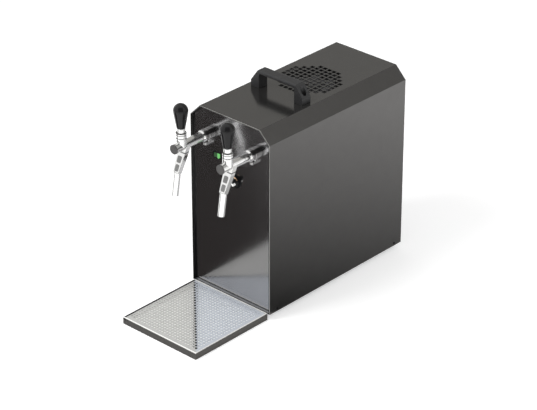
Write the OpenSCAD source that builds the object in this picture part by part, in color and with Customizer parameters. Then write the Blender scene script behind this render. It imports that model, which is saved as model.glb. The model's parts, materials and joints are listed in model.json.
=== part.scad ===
// Two-tap draft beer dispenser: a sheet-metal cabinet that holds a cooler, with two
// chrome taps on its front, a carrying handle on its top and a loose drip tray before it.
// X runs across the cabinet, the taps point towards -Y, and Z is up from the floor.
// The origin lies on the floor in the middle of the whole dispenser.

/* [Cabinet] */
// Width of the cabinet
case_w = 220; // [208:1:260]
// Depth of the cabinet
case_d = 420; // [410:1:480]
// Height of the cabinet's top above the floor
case_h = 430; // [420:1:480]
// Size of the slanted top corners
chamfer = 27; // [16:1:34]
// Thickness of the sheet metal
sheet = 1.5; // [1:0.1:2]
// Height of the cabinet's underside above the floor
foot_h = 13.5; // [10:0.5:18]
// Depth of the recess before the front panel
front_recess = 12; // [9:0.5:15]
// Depth of the recess behind the rear panel
rear_recess = 12; // [9:0.5:15]
// Thickness of the folded edge round the cover's open ends
hem_t = 3; // [2.2:0.1:3.4]
// Depth of that folded edge
hem_d = 7; // [4:0.5:8]
// Depth of the return flange round each panel
panel_flange = 8; // [7:0.5:10]
// Height of the base plate's side flanges
base_flange = 16; // [14:0.5:22]
// Diameter of a rubber foot
foot_d = 32; // [24:1:36]
// Distance from a foot's centre to the cabinet's side, front or back
foot_inset = 42; // [34:1:50]
// Diameter of a cover screw's shank
cover_screw_d = 3; // [2.5:0.1:4]
// Length of a cover screw inside the cover
cover_screw_l = 8; // [6:0.5:10]
// Diameter of a panel screw's shank
panel_screw_d = 3; // [2.5:0.1:3.2]
// Length of a panel screw below its flange
panel_screw_l = 7; // [5:0.5:9]
// Length of a vent slot in the base plate
floor_vent_l = 70; // [40:5:90]
// Length of a vent slot in the rear panel
rear_vent_l = 56; // [40:1:62]
// Width of a vent slot
vent_w = 5; // [3:0.5:6]
// Distance between neighbouring vent slots of the rear panel
rear_vent_pitch = 12; // [10:1:14]

/* [Grille and fan] */
// Distance from the cabinet's front to the fan's axis
fan_setback = 242; // [236:1:262]
// Distance between neighbouring holes of the grille
grille_pitch = 12.2; // [11:0.1:12.6]
// Side of a grille hole
grille_hole = 8.4; // [6:0.1:9.4]
// Grille holes from the middle one to the edge, along a row
grille_reach = 5; // [3:1:5]
// Steps along both rows together at which the grille's outline stops
grille_corner = 7; // [5:1:8]
// Width of the fan's square frame
fan_w = 120; // [112:1:124]
// Height of the fan's frame
fan_t = 38; // [32:1:42]
// Diameter of the fan's hub
hub_d = 46; // [38:1:52]
// Number of fan blades
blade_count = 7; // [5:1:9]
// Pitch of a fan blade
blade_pitch = 36; // [26:1:40]
// Diameter of the fan's spindle
spindle_d = 6; // [4:0.5:8]

/* [Handle] */
// Distance from the cabinet's front to the handle
handle_setback = 139; // [110:1:142]
// Width of the handle over its feet
handle_w = 142; // [130:1:150]
// Depth of the handle
handle_d = 25; // [20:1:28]
// Height of the handle above the cabinet
handle_h = 40; // [36:1:50]
// Thickness of the grip bar
grip_t = 7; // [6:0.5:10]
// Thickness of each leg at its foot
leg_t = 22.5; // [20:0.5:25]
// Height of the foot below the slanted end
shoulder_h = 13.5; // [10:0.5:18]
// How far the slanted end reaches inwards
shoulder_run = 19; // [14:0.5:22]
// Radius of the handle's long edges
handle_r = 4; // [2:0.5:6]
// Diameter of the pocket over a handle screw
pocket_d = 13; // [11:0.5:14]
// Thickness of the foot under that pocket
pocket_floor = 9; // [6:0.5:12]
// Diameter of a handle screw's shank
handle_screw_d = 5; // [4:0.5:6]
// How far a handle screw reaches below the cabinet's top
handle_screw_l = 14; // [8:1:18]

/* [Taps] */
// Distance between the two taps
tap_pitch = 129; // [116:1:136]
// Height of the taps' axis above the floor
tap_h = 371; // [360:1:378]
// Diameter of the tap's body
body_d = 20; // [19:0.1:21]
// Distance from the front panel to the tap's front cap
body_reach = 105; // [101:1:112]
// Distance from the front panel to the lever's axis
lever_reach = 85; // [82:1:87]
// Thickness of the front cap
cap_t = 3; // [2:0.1:5]
// Diameter of the sleeve against the panel
sleeve_d = 25; // [24:0.1:27]
// Length of that sleeve
sleeve_l = 15; // [14:0.5:18]
// Diameter of the coupling nut
coupling_d = 26; // [25.2:0.1:29]
// Length of the coupling nut
coupling_l = 16; // [14:0.5:18]
// Number of spanner slots round the coupling nut
slot_count = 6; // [4:1:8]
// Diameter of the shank that passes through the panel
shank_d = 16; // [14:0.1:17]
// Length of the shank behind the panel
shank_tail = 45; // [38:1:48]
// Diameter of the bore through the shank
shank_bore = 8; // [6:0.1:9]
// Width across the flats of the lock nut behind the panel
lock_nut_w = 24; // [22:0.5:28]
// Thickness of that lock nut
lock_nut_t = 8; // [5:0.5:10]

/* [Tap valve and lever] */
// Diameter of the bore that the valve plunger slides in
valve_bore = 14.6; // [14:0.1:15]
// Diameter of the wide chamber behind that bore
chamber_d = 17; // [16.4:0.1:17.4]
// Diameter of the collar round the lever's ball
collar_d = 22; // [21.6:0.1:24]
// Height of the collar's top above the tap's axis
collar_h = 31; // [30:0.5:33]
// Height at which the bonnet meets the body's boss
boss_h = 20; // [18:0.5:21]
// Diameter of the lever's ball and ferrule
ball_d = 17; // [16:0.1:17.2]
// Length of the ferrule above the ball's centre
ferrule_l = 10; // [7:0.5:14]
// Diameter of the finger that moves the plunger
finger_d = 4; // [3:0.1:4.2]
// Length of that finger from the ball's centre
finger_l = 27.5; // [26.5:0.1:28]
// Diameter of the knob at its foot
knob_foot_d = 18; // [17.4:0.5:22]
// Largest diameter of the knob
knob_d = 31; // [26:0.5:36]
// Length of the knob
knob_l = 54; // [48:1:66]
// Length of the compensator's paddle from its spindle
paddle_l = 8; // [5:0.5:12]
// Width of that paddle
paddle_w = 9.5; // [8:0.5:12]

/* [Spouts] */
// How far the spout's neck leans forward from upright
neck_tilt = 23.6; // [20:0.1:26]
// Depth of the neck from its front face to its back
neck_t = 12; // [10.5:0.1:14]
// Width of the neck where it leaves the body
neck_top_w = 20.6; // [16:0.2:21]
// Depth below the tap's axis at which the neck starts to narrow
neck_shoulder = 19; // [12:0.5:30]
// Height of the bend below the tap's axis
bend_drop = 55.5; // [48:0.5:62]
// Diameter of the spout's tube
tube_d = 14.2; // [12.5:0.1:15]
// Diameter of the bore through that tube
tube_bore = 10.4; // [8:0.1:11]
// Length of the tube below the bend
tube_l = 49; // [35:1:58]
// How far the tube leans forward from upright
tube_tilt = 9; // [0:0.5:14]

/* [Controls] */
// Distance of the thermostat's axis from the cabinet's middle
therm_x = 10.5; // [6:0.5:24]
// Height of the thermostat's axis above the floor
therm_h = 288.5; // [275:0.5:300]
// Diameter of the thermostat's knob
therm_knob_d = 25; // [22:0.5:32]
// Height of that knob's round skirt above the panel
therm_skirt_h = 5.5; // [4:0.5:8]
// Height of its grip bar above the panel
therm_knob_h = 13; // [9:0.5:18]
// Width of that grip bar
therm_grip_w = 7; // [5:0.5:9]
// Width of the dial ring round that knob
dial_w = 3.4; // [2.4:0.1:6]
// Height of the dial ring above the panel
dial_h = 1.6; // [1:0.1:2.4]
// Diameter of the thermostat's spindle
therm_spindle_d = 6; // [4:0.5:8]
// Distance of the rocker switch's axis from the cabinet's middle
rocker_x = 39.5; // [34:0.5:42]
// Height of the rocker switch above the floor
rocker_h = 330; // [320:1:335]
// Width of the rocker switch's rim
rocker_rim_w = 22; // [20:0.5:26]
// Height of that rim
rocker_rim_h = 15; // [13:0.5:18]

/* [Drip tray] */
// Width of the drip tray
tray_w = 208; // [190:1:218]
// Depth of the drip tray
tray_d = 212; // [180:1:230]
// Height of the drip tray
tray_h = 15.2; // [13:0.2:25]
// Thickness of the tray's walls
tray_wall = 1.2; // [1:0.1:2]
// Width of the tray's folded rim
rim_w = 3; // [2.4:0.1:5]
// Thickness of the tray's floor at its edge
tray_floor = 2.6; // [2.2:0.1:4]
// Depth of the creased hollow in that floor
crease_depth = 1.4; // [0.5:0.1:1.6]
// Thickness of the grate
grate_t = 1.2; // [1:0.1:2]
// Distance between neighbouring holes of the grate
perf_pitch = 7.4; // [7:0.1:9]
// Diameter of a hole of the grate
perf_hole = 4.8; // [3:0.1:5.4]
// Length of a slot on the grate's diagonal
slot_l = 8.6; // [4:0.1:8.8]
// Width of that slot
slot_w = 2.4; // [1:0.1:2.6]
// Plain border between the grate's edge and its holes
perf_border = 10; // [8:0.5:20]

/* [Cooler] */
// Width of the cold block
block_w = 150; // [140:1:160]
// Depth of the cold block
block_d = 125; // [100:1:130]
// Height of the cold block
block_h = 240; // [160:1:260]
// Distance from the cabinet's front to the cold block
block_setback = 72; // [66:1:78]
// Diameter of the compressor's shell
comp_d = 132; // [110:1:136]
// Height of the compressor's shell
comp_h = 118; // [90:1:140]
// Distance from the compressor's shell to the rear panel
comp_gap = 28.5; // [24:0.5:34]
// Height of a pipe stub on the compressor
stub_h = 6; // [5:0.5:9]
// Height of the suction pipe's run above those stubs
suction_rise = 18; // [12:1:24]
// Height of the discharge pipe's run above those stubs
discharge_rise = 30; // [28:1:40]
// Height of a compressor grommet
grommet_h = 15; // [10:1:20]
// Width and depth of the condenser
cond_w = 150; // [140:1:156]
// Height of the condenser
cond_h = 40; // [30:1:46]
// Number of condenser fins
fin_count = 17; // [9:2:21]
// Height of the shroud between condenser and fan
shroud_h = 18; // [12:1:24]
// Diameter of the refrigerant pipes
pipe_d = 8; // [6:0.5:9]
// Diameter of the filter dryer in the liquid line
dryer_d = 18; // [14:1:22]
// Length of that filter dryer
dryer_l = 30; // [20:1:34]
// Outer diameter of the beverage hoses
hose_d = 12; // [11:0.5:14]

/* [Rear connections] */
// Distance between the two keg line inlets
inlet_pitch = 80; // [60:1:90]
// Height of the inlets above the floor
inlet_h = 215; // [205:1:232]
// Diameter of the tube that an inlet takes
inlet_bore = 9.6; // [8:0.1:10]
// Diameter of an inlet's body
inlet_d = 22; // [18:0.5:26]
// Length of an inlet outside the rear panel
inlet_l = 25; // [20:1:32]
// Depth of an inlet's bore
inlet_depth = 18; // [12:0.5:20]
// Distance from the cabinet's side to the air outlet
air_inset = 40; // [37:1:46]
// Height of the air outlet above the floor
air_h = 190; // [180:1:200]
// Diameter of the air outlet's thread
air_d = 12; // [10:0.5:14]
// Length of the air outlet outside the rear panel
air_l = 13; // [10:0.5:20]
// Diameter of the air outlet's bore
air_bore = 6.2; // [5:0.1:7]
// Diameter of the hose from the air pump
air_hose_d = 7; // [6:0.5:8]
// Width of the air pump
pump_w = 44; // [36:1:48]
// Depth of the air pump
pump_d = 40; // [32:1:46]
// Height of the air pump
pump_h = 58; // [44:1:64]
// Distance from the cabinet's side to the mains inlet
power_inset = 48; // [40:1:52]
// Height of the mains inlet above the floor
power_h = 70; // [60:1:100]
// Width of the mains inlet's opening
power_w = 28; // [27:0.5:31]
// Height of the mains inlet's opening
power_t = 21; // [20:0.5:24]

/* [Clearances] */
// Gap between pieces that are only slid together
fit_gap = 0.3; // [0.2:0.05:0.4]
// Radial gap of a running fit
run_gap = 0.05; // [0.03:0.01:0.08]
// Radial gap round a screw in its hole
screw_gap = 0.3; // [0.2:0.05:0.5]
// Gap between the drip tray and the cabinet
tray_gap = 0.3; // [0.2:0.1:5]

/* [Hidden] */

// Facets of round shapes, and a hair by which a cut passes a face
$fn = 64;
hair = 0.5;

// Lengthwise places, with the whole dispenser centred on the origin
rear_out = max(0, inlet_l - rear_recess);
front_y = (tray_d + tray_gap - case_d - rear_out) / 2;
back_y = front_y + case_d;
panel_y = front_y + front_recess;
rear_y = back_y - rear_recess;
mid_y = (front_y + back_y) / 2;

// Cabinet
floor_z = foot_h + sheet;
base_w = case_w - 2 * (sheet + fit_gap);
panel_inset = 2 * (sheet + fit_gap);
side_screw_in = panel_flange + 3;
side_screw_z = foot_h + 6.5;
head_ratio = 1.9;
head_h = 1.2;
plug_d = foot_d / 4;
panel_screw_in = (sheet + panel_flange) / 2;
panel_hole_d = panel_screw_d + 2 * screw_gap;

// Fan and condenser, hung under the cabinet's top
fan_y = front_y + fan_setback;
fan_gap = 2;
fan_z = case_h - sheet - fan_gap - fan_t;
fan_bore = fan_w - 6;
fan_hole_pitch = fan_w - 15;
fan_screw_d = 4;
motor_seat_t = 5;
shroud_z = fan_z - shroud_h;
cond_z = shroud_z - cond_h;
ledge_w = 16;
upright_x = cond_w / 2 + 9;

// Handle
handle_y = front_y + handle_setback;
handle_screw_x = handle_w / 2 - pocket_d / 2 - 2.5;

// Taps, measured forward from the panel along the tap's own axis
body_rear = sleeve_l + 7;
valve_land = 6;
land_reach = lever_reach - 26;
stroke_arm = 26;
pull_angle = 18;
push_angle = 12;
pivot_h = collar_h;
barb_l = 14;
barb_d = shank_bore + 1.4;
bend_tilt = (neck_tilt + tube_tilt) / 2;
spindle_out = sleeve_l / 2;
flow_spindle_d = 7;
boss_drop = 3.5;
neck_reach = lever_reach + 13;
bend_y = -neck_reach;

// Controls
index_turn = 52;
index_span = 50;
therm_spindle_l = 11;

// Cooler
block_y = front_y + block_setback;
block_top = floor_z + block_h;
comp_y = rear_y - sheet - comp_gap - comp_d / 2;
comp_z = floor_z + grommet_h;
stub_z = comp_z + comp_h + stub_h;
pass_pitch = cond_w / 6;
shell_flange = 3;
mount_bolt_d = 6;
hose_bend_y = block_y + 14;
block_inset = 3;

// Rear connections
air_x = air_inset - case_w / 2;
power_x = case_w / 2 - power_inset;
pump_z = air_h + 46;
inlet_inside = 14;

// Drip tray
tray_back = front_y - tray_gap;
tray_y = tray_back - tray_d / 2;
grate_w = tray_w - 2 * (rim_w + 2 * fit_gap);
grate_d = tray_d - 2 * (rim_w + 2 * fit_gap);
grate_top = tray_h - 0.7;

// A block centred on a point of its base
module slab(size, at) {
    translate([at.x - size.x / 2, at.y - size.y / 2, at.z]) cube(size);
}

// A flat outline, drawn across and up, stood upright and given depth along Y
module upright(y, depth) {
    translate([0, y + depth, 0]) rotate([90, 0, 0]) linear_extrude(depth) children();
}

// A round bar that starts at a height above the tap's axis and runs forward from there
module forward_bar(d, from, to, sides = 64) {
    translate([0, -from, 0]) rotate([90, 0, 0]) cylinder(h = to - from, d = d, $fn = sides);
}

// A rectangle with round corners
module soft_square(w, d, r) {
    square([w - 2 * r, d], center = true);
    square([w, d - 2 * r], center = true);
    for (x = [-1, 1], y = [-1, 1]) translate([x * (w / 2 - r), y * (d / 2 - r)]) circle(r);
}

// Copies a piece to both sides of the cabinet
module both_sides(x) {
    for (side = [-1, 1]) translate([side * x, 0, 0]) children();
}

// A pipe along a row of points, with a brazed bead at each corner
module pipe_run(points, d) {
    for (i = [0 : len(points) - 2]) {
        step = points[i + 1] - points[i];
        length = norm(step);
        translate(points[i]) rotate([0, acos(step.z / length), atan2(step.y, step.x)])
            cylinder(h = length, d = d, $fn = 32);
    }
    for (i = [1 : len(points) - 2]) translate(points[i]) sphere(d = d * 1.12, $fn = 32);
}

// The cabinet's front view, drawn in from its outside by an even margin
module case_outline(inset, bottom) {
    half = case_w / 2 - inset;
    top = case_h - inset;
    corner = chamfer - inset * (2 - sqrt(2));
    polygon([
        [-half, bottom], [half, bottom], [half, top - corner],
        [half - corner, top], [corner - half, top], [-half, top - corner]
    ]);
}

// A band of that outline between two margins, open at the bottom
module case_band(outer, inner, bottom) {
    difference() {
        case_outline(outer, bottom);
        case_outline(inner, bottom - hair);
    }
}

// Square holes of the grille, in rows cut off at the corners
module grille_holes() {
    for (i = [-grille_reach : grille_reach], j = [-grille_reach : grille_reach])
        if (abs(i) + abs(j) <= grille_corner)
            translate([i * grille_pitch, j * grille_pitch]) square(grille_hole, center = true);
}

// Places of the four cover screws, on both side walls
module at_side_screws() {
    for (side = [-1, 1], y = [panel_y + side_screw_in, rear_y - side_screw_in])
        translate([side * case_w / 2, y, side_screw_z]) rotate([0, side * 90, 0]) children();
}

module cover() {
    color("#3b3a38") difference() {
        union() {
            upright(front_y, case_d) case_band(0, sheet, foot_h);
            for (y = [front_y, back_y - hem_d]) upright(y, hem_d) case_band(0, hem_t, foot_h);
        }
        translate([0, fan_y, case_h - 2 * sheet]) linear_extrude(3 * sheet) grille_holes();
        at_side_screws() translate([0, 0, -2 * sheet])
            cylinder(h = 3 * sheet, d = cover_screw_d + 2 * screw_gap, $fn = 24);
        at_handle_screws() translate([0, 0, -2 * sheet])
            cylinder(h = 3 * sheet, d = handle_screw_d + 2 * screw_gap, $fn = 24);
    }
}

module cover_screws() {
    color("#1c1c1c") at_side_screws() {
        cylinder(h = head_h, d1 = cover_screw_d * head_ratio, d2 = cover_screw_d * 1.3, $fn = 32);
        translate([0, 0, -cover_screw_l]) cylinder(h = cover_screw_l, d = cover_screw_d, $fn = 24);
    }
}

// Places of the four feet
module at_feet() {
    for (x = [-1, 1], y = [front_y + foot_inset, back_y - foot_inset])
        translate([x * (case_w / 2 - foot_inset), y, 0]) children();
}

// Places of the screws that hold the two panels to the base plate
module at_panel_screws() {
    for (x = [-1, 1], y = [panel_y + panel_screw_in, rear_y - panel_screw_in])
        translate([x * case_w / 4, y, floor_z + sheet]) children();
}

module base_plate() {
    floor_vent_pitch = 18;
    color("#8d9093") difference() {
        union() {
            slab([base_w, case_d - 2 * (hem_d + fit_gap), sheet], [0, mid_y, foot_h]);
            slab([case_w - 2 * (hem_t + fit_gap), case_d - 2 * fit_gap, sheet], [0, mid_y, foot_h]);
            both_sides((base_w - sheet) / 2)
                slab([sheet, case_d - 2 * (hem_d + fit_gap), base_flange], [0, mid_y, foot_h]);
        }
        at_feet() cylinder(h = foot_h + 2 * sheet, d = plug_d + 2 * fit_gap, $fn = 32);
        at_side_screws() translate([0, 0, -cover_screw_l])
            cylinder(h = cover_screw_l, d = cover_screw_d + 2 * screw_gap, $fn = 24);
        at_panel_screws() translate([0, 0, -3 * sheet]) cylinder(h = 3 * sheet, d = panel_hole_d, $fn = 24);
        for (x = [-2 : 2])
            slab([vent_w, floor_vent_l, 3 * sheet], [x * floor_vent_pitch, comp_y, foot_h - sheet]);
    }
}

module feet() {
    foot_taper = 6;
    foot_rim = 3;
    barb = 2.5;
    color("#151515") at_feet() difference() {
        union() {
            cylinder(h = foot_rim, d = foot_d);
            translate([0, 0, foot_rim])
                cylinder(h = foot_h - foot_rim, d1 = foot_d, d2 = foot_d - foot_taper);
            translate([0, 0, foot_h - hair]) cylinder(h = sheet + 2 * hair, d = plug_d, $fn = 32);
            translate([0, 0, floor_z + 0.1]) cylinder(h = barb, d1 = plug_d * 1.4, d2 = plug_d, $fn = 32);
        }
        translate([0, 0, -hair]) cylinder(h = foot_h - 5, d = foot_d / 2.6, $fn = 32);
    }
}

// A panel with its flange turned into the cabinet: inward is 1 at the front and -1 at the rear
module panel_dish(y, inward) {
    face = inward > 0 ? y : y - sheet;
    flange = inward > 0 ? y : y - panel_flange;
    upright(face, sheet) case_outline(panel_inset, floor_z);
    upright(flange, panel_flange) difference() {
        case_outline(panel_inset, floor_z);
        case_outline(panel_inset + sheet, floor_z + sheet);
    }
}

module panel_screw_holes() {
    at_panel_screws() translate([0, 0, -2 * sheet]) cylinder(h = 3 * sheet, d = panel_hole_d, $fn = 24);
}

module front_panel() {
    spindle_hole_d = therm_spindle_d + 4;
    rocker_lip = 1;
    color("#2b2a29") difference() {
        panel_dish(panel_y, 1);
        both_sides(tap_pitch / 2) translate([0, panel_y + sheet + hair, tap_h])
            forward_bar(shank_d + 2 * fit_gap, 0, sheet + 2 * hair);
        translate([therm_x, panel_y + sheet + hair, therm_h])
            forward_bar(spindle_hole_d, 0, sheet + 2 * hair, 32);
        slab([rocker_rim_w - 2 * rocker_lip, 3 * sheet, rocker_rim_h - 2 * rocker_lip],
             [-rocker_x, panel_y, rocker_h - rocker_rim_h / 2 + rocker_lip]);
        panel_screw_holes();
    }
}

module rear_panel() {
    neck_hole_d = inlet_d - 6 + 2 * fit_gap;
    upper_z = 300;
    lower_z = 40;
    vent_x = rear_vent_l * 0.62;
    color("#33322f") difference() {
        panel_dish(rear_y, -1);
        both_sides(inlet_pitch / 2) translate([0, rear_y + hair, inlet_h])
            forward_bar(neck_hole_d, 0, sheet + 2 * hair);
        translate([air_x, rear_y + hair, air_h]) forward_bar(air_d + 2 * fit_gap, 0, sheet + 2 * hair);
        slab([power_w, 3 * sheet, power_t], [power_x, rear_y - sheet / 2, power_h - power_t / 2]);
        for (row = [0 : 5], side = [-1, 1])
            slab([rear_vent_l, 3 * sheet, vent_w],
                 [side * vent_x, rear_y - sheet / 2, upper_z + row * rear_vent_pitch]);
        for (row = [0 : 3])
            slab([rear_vent_l, 3 * sheet, vent_w], [-vent_x, rear_y - sheet / 2, lower_z + row * rear_vent_pitch]);
        panel_screw_holes();
    }
}

module panel_screws() {
    color("#a9abad") at_panel_screws() {
        cylinder(h = 1.5 * head_h, d = panel_screw_d * head_ratio, $fn = 24);
        translate([0, 0, -panel_screw_l]) cylinder(h = panel_screw_l, d = panel_screw_d, $fn = 24);
    }
}

// Places of the two handle screws, on the cabinet's top
module at_handle_screws() {
    both_sides(handle_screw_x) translate([0, handle_y + handle_d / 2, case_h]) children();
}

// The bridge seen from the front: slanted shoulders over straight feet
module handle_front() {
    half = handle_w / 2;
    opening_w = handle_w - 2 * leg_t;
    opening_h = handle_h - grip_t;
    difference() {
        polygon([
            [-half, 0], [half, 0], [half, shoulder_h], [half - shoulder_run, handle_h],
            [shoulder_run - half, handle_h], [-half, shoulder_h]
        ]);
        translate([0, opening_h / 2 - handle_r]) soft_square(opening_w, opening_h + 2 * handle_r, handle_r);
    }
}

// The bridge seen from its end: straight sides with round upper edges
module handle_end() {
    translate([0, handle_h / 2 - handle_r])
        soft_square(handle_d, handle_h + 2 * handle_r, handle_r);
}

module handle() {
    groove_w = handle_d - 10;
    groove_l = handle_w - 2 * leg_t - 16;
    groove_t = 3;
    color("#2e2d2f") translate([0, handle_y, case_h]) difference() {
        intersection() {
            upright(0, handle_d) handle_front();
            translate([-handle_w / 2 - hair, handle_d / 2, 0]) rotate([90, 0, 90])
                linear_extrude(handle_w + 2 * hair) handle_end();
        }
        both_sides(handle_screw_x) translate([0, handle_d / 2, 0]) {
            translate([0, 0, pocket_floor]) cylinder(h = handle_h, d = pocket_d, $fn = 48);
            translate([0, 0, -hair]) cylinder(h = handle_h, d = handle_screw_d + 2 * screw_gap, $fn = 24);
        }
        slab([groove_l, groove_w, groove_t], [0, handle_d / 2, handle_h - grip_t - hair]);
    }
}

module handle_screws() {
    head_t = handle_screw_d * 0.68;
    shank_l = pocket_floor + handle_screw_l;
    color("#d9dadb") at_handle_screws() translate([0, 0, pocket_floor]) difference() {
        union() {
            cylinder(h = head_t, d = handle_screw_d * head_ratio, $fn = 32);
            translate([0, 0, -shank_l]) cylinder(h = shank_l, d = handle_screw_d, $fn = 24);
        }
        slab([head_h, handle_screw_d * head_ratio + 1, head_t], [0, 0, head_t - head_h]);
    }
}

module support_frame() {
    depth = 90;
    plate_t = 2;
    post_w = 12;
    foot_w = 12;
    window_z = 110;
    rise = cond_z - floor_z;
    color("#9da0a3") for (side = [-1, 1]) translate([0, fan_y, floor_z]) {
        difference() {
            slab([plate_t, depth, rise], [side * upright_x, 0, 0]);
            slab([2 * plate_t, depth - 2 * post_w, rise - 150], [side * upright_x, 0, window_z]);
        }
        slab([ledge_w, depth, plate_t], [side * (upright_x - ledge_w / 2), 0, rise - plate_t]);
        slab([foot_w, depth, plate_t], [side * (upright_x + foot_w / 2), 0, 0]);
    }
}

// Places of the fan's corner screws
module at_fan_screws() {
    for (x = [-1, 1], y = [-1, 1])
        translate([x * fan_hole_pitch / 2, fan_y + y * fan_hole_pitch / 2, fan_z]) children();
}

module fan_frame() {
    strut_w = 7;
    color("#232325") difference() {
        translate([0, fan_y, fan_z]) {
            difference() {
                linear_extrude(fan_t) soft_square(fan_w, fan_w, 7);
                translate([0, 0, -hair]) cylinder(h = fan_t + 2 * hair, d = fan_bore, $fn = 96);
            }
            cylinder(h = motor_seat_t, d = hub_d);
            for (turn = [20 : 90 : 290]) rotate(turn)
                slab([fan_bore / 2 - hub_d / 2 + 3, strut_w, 3], [fan_bore / 4 + hub_d / 4, 0, 0]);
        }
        at_fan_screws() translate([0, 0, -hair])
            cylinder(h = fan_t + 2 * hair, d = fan_screw_d + 2 * screw_gap, $fn = 24);
        translate([0, fan_y, fan_z - hair])
            cylinder(h = motor_seat_t + 2 * hair, d = spindle_d + 2 * run_gap, $fn = 48);
    }
}

module fan_screws() {
    color("#b9bbbd") at_fan_screws() {
        translate([0, 0, fan_t]) cylinder(h = 1.6, d = fan_screw_d * head_ratio, $fn = 32);
        translate([0, 0, -sheet - 3]) cylinder(h = fan_t + sheet + 3, d = fan_screw_d, $fn = 24);
    }
}

// One cambered blade, cut from a tube and tilted, before it is trimmed to the fan's bore
module fan_blade() {
    camber_r = 46;
    chord = 40;
    rotate([blade_pitch, 0, 0]) intersection() {
        translate([0, -chord / 2, -8]) cube([fan_bore / 2, chord, 12]);
        translate([0, 0, -camber_r]) rotate([0, 90, 0]) difference() {
            cylinder(h = fan_bore / 2, r = camber_r, $fn = 96);
            translate([0, 0, -hair]) cylinder(h = fan_bore, r = camber_r - 1.8, $fn = 96);
        }
    }
}

module fan_rotor() {
    hub_z = motor_seat_t + 1;
    hub_h = fan_t - hub_z - 3;
    blade_r = fan_bore / 2 - 2;
    color("#3c3d40") translate([0, fan_y, fan_z]) {
        difference() {
            translate([0, 0, hub_z]) cylinder(h = hub_h, d = hub_d);
            translate([0, 0, hub_z + hub_h - 2]) difference() {
                cylinder(h = 3, d = hub_d - 8);
                cylinder(h = 3, d = hub_d - 20);
            }
        }
        translate([0, 0, 0.5]) cylinder(h = hub_z + 1, d = spindle_d, $fn = 48);
        for (i = [0 : blade_count - 1]) rotate(i * 360 / blade_count) intersection() {
            translate([0, 0, hub_z + hub_h / 2]) fan_blade();
            translate([0, 0, hub_z]) difference() {
                cylinder(h = hub_h, r = blade_r, $fn = 96);
                translate([0, 0, -hair]) cylinder(h = fan_t, d = hub_d - 2);
            }
        }
    }
}

module fan_shroud() {
    color("#9da0a3") translate([0, fan_y, shroud_z]) difference() {
        slab([cond_w, cond_w, shroud_h], [0, 0, 0]);
        slab([cond_w - 2 * sheet, cond_w - 2 * sheet, shroud_h], [0, 0, -sheet]);
        translate([0, 0, shroud_h - 2 * sheet]) cylinder(h = 3 * sheet, d = fan_bore, $fn = 96);
        translate([0, -fan_y, -shroud_z]) at_fan_screws() translate([0, 0, -2 * sheet])
            cylinder(h = 3 * sheet, d = fan_screw_d + 0.1, $fn = 24);
    }
}

module condenser() {
    passes = 5;
    fin_t = 0.6;
    end_x = cond_w / 2 - 1;
    color("#b4b7b9") translate([0, fan_y, cond_z]) {
        for (i = [0 : fin_count - 1])
            slab([fin_t, cond_w - 4, cond_h - 4], [(i - (fin_count - 1) / 2) * cond_w / (fin_count + 1), 0, 2]);
        for (side = [-1, 1]) slab([2, cond_w, cond_h], [side * end_x, 0, 0]);
        for (i = [0 : passes - 1]) translate([-end_x - 3, (i - (passes - 1) / 2) * pass_pitch, cond_h / 2])
            rotate([0, 90, 0]) cylinder(h = 2 * end_x + 6, d = pipe_d, $fn = 32);
        for (i = [0 : passes - 2]) {
            side = i % 2 == 0 ? 1 : -1;
            translate([side * (end_x + 3), (i - (passes - 2) / 2) * pass_pitch, cond_h / 2])
                rotate(side > 0 ? -90 : 90)
                rotate_extrude(angle = 180) translate([pass_pitch / 2, 0]) circle(d = pipe_d, $fn = 32);
        }
    }
}

module compressor() {
    edge_r = 24;
    box_w = 30;
    color("#1d1d1f") translate([0, comp_y, comp_z]) {
        difference() {
            linear_extrude(shell_flange) soft_square(comp_d + 14, comp_d - 18, 10);
            at_compressor_mounts() translate([0, 0, -hair])
                cylinder(h = shell_flange + 2 * hair, d = mount_bolt_d + 2 * screw_gap, $fn = 24);
        }
        rotate_extrude($fn = 96) {
            square([comp_d / 2, comp_h - edge_r]);
            square([comp_d / 2 - edge_r, comp_h]);
            intersection() {
                translate([comp_d / 2 - edge_r, comp_h - edge_r]) circle(edge_r);
                square([comp_d / 2, comp_h]);
            }
            translate([0, comp_h * 0.55]) square([comp_d / 2 + shell_flange, 4]);
        }
        slab([box_w, box_w * 1.4, box_w * 1.7], [1 - comp_d / 2, 0, comp_h / 5]);
        for (side = [-1, 1]) translate([side * comp_d / 4, 0, comp_h - 2])
            cylinder(h = stub_h + 2, d = pipe_d + 4.5 - side / 2, $fn = 32);
    }
}

// Places of the compressor's grommets, measured from its own axis
module at_compressor_mounts() {
    for (x = [-1, 1], y = [-1, 1])
        translate([x * (comp_d / 2 - 4), y * (comp_d / 2 - 18), 0]) children();
}

module compressor_mounts() {
    rubber_r = 10;
    groove_r = 2.5;
    color("#262626") translate([0, comp_y, floor_z]) at_compressor_mounts() {
        rotate_extrude($fn = 48) difference() {
            union() {
                square([rubber_r, grommet_h]);
                square([rubber_r + 1.5, 3]);
            }
            translate([rubber_r + 1.5, grommet_h / 2 + 1]) circle(groove_r, $fn = 32);
        }
        cylinder(h = grommet_h + shell_flange + 0.2, d = mount_bolt_d, $fn = 24);
        translate([0, 0, grommet_h + shell_flange]) cylinder(h = mount_bolt_d / 2, d = mount_bolt_d * 1.6, $fn = 6);
    }
}

module cold_block() {
    lid_t = 12;
    color("#cfd2d3") translate([0, block_y + block_d / 2, floor_z]) {
        linear_extrude(block_h - lid_t)
            soft_square(block_w - 2 * block_inset, block_d - 2 * block_inset, lid_t);
        translate([0, 0, block_h - lid_t]) linear_extrude(lid_t) soft_square(block_w, block_d, lid_t + 2);
    }
}

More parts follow.
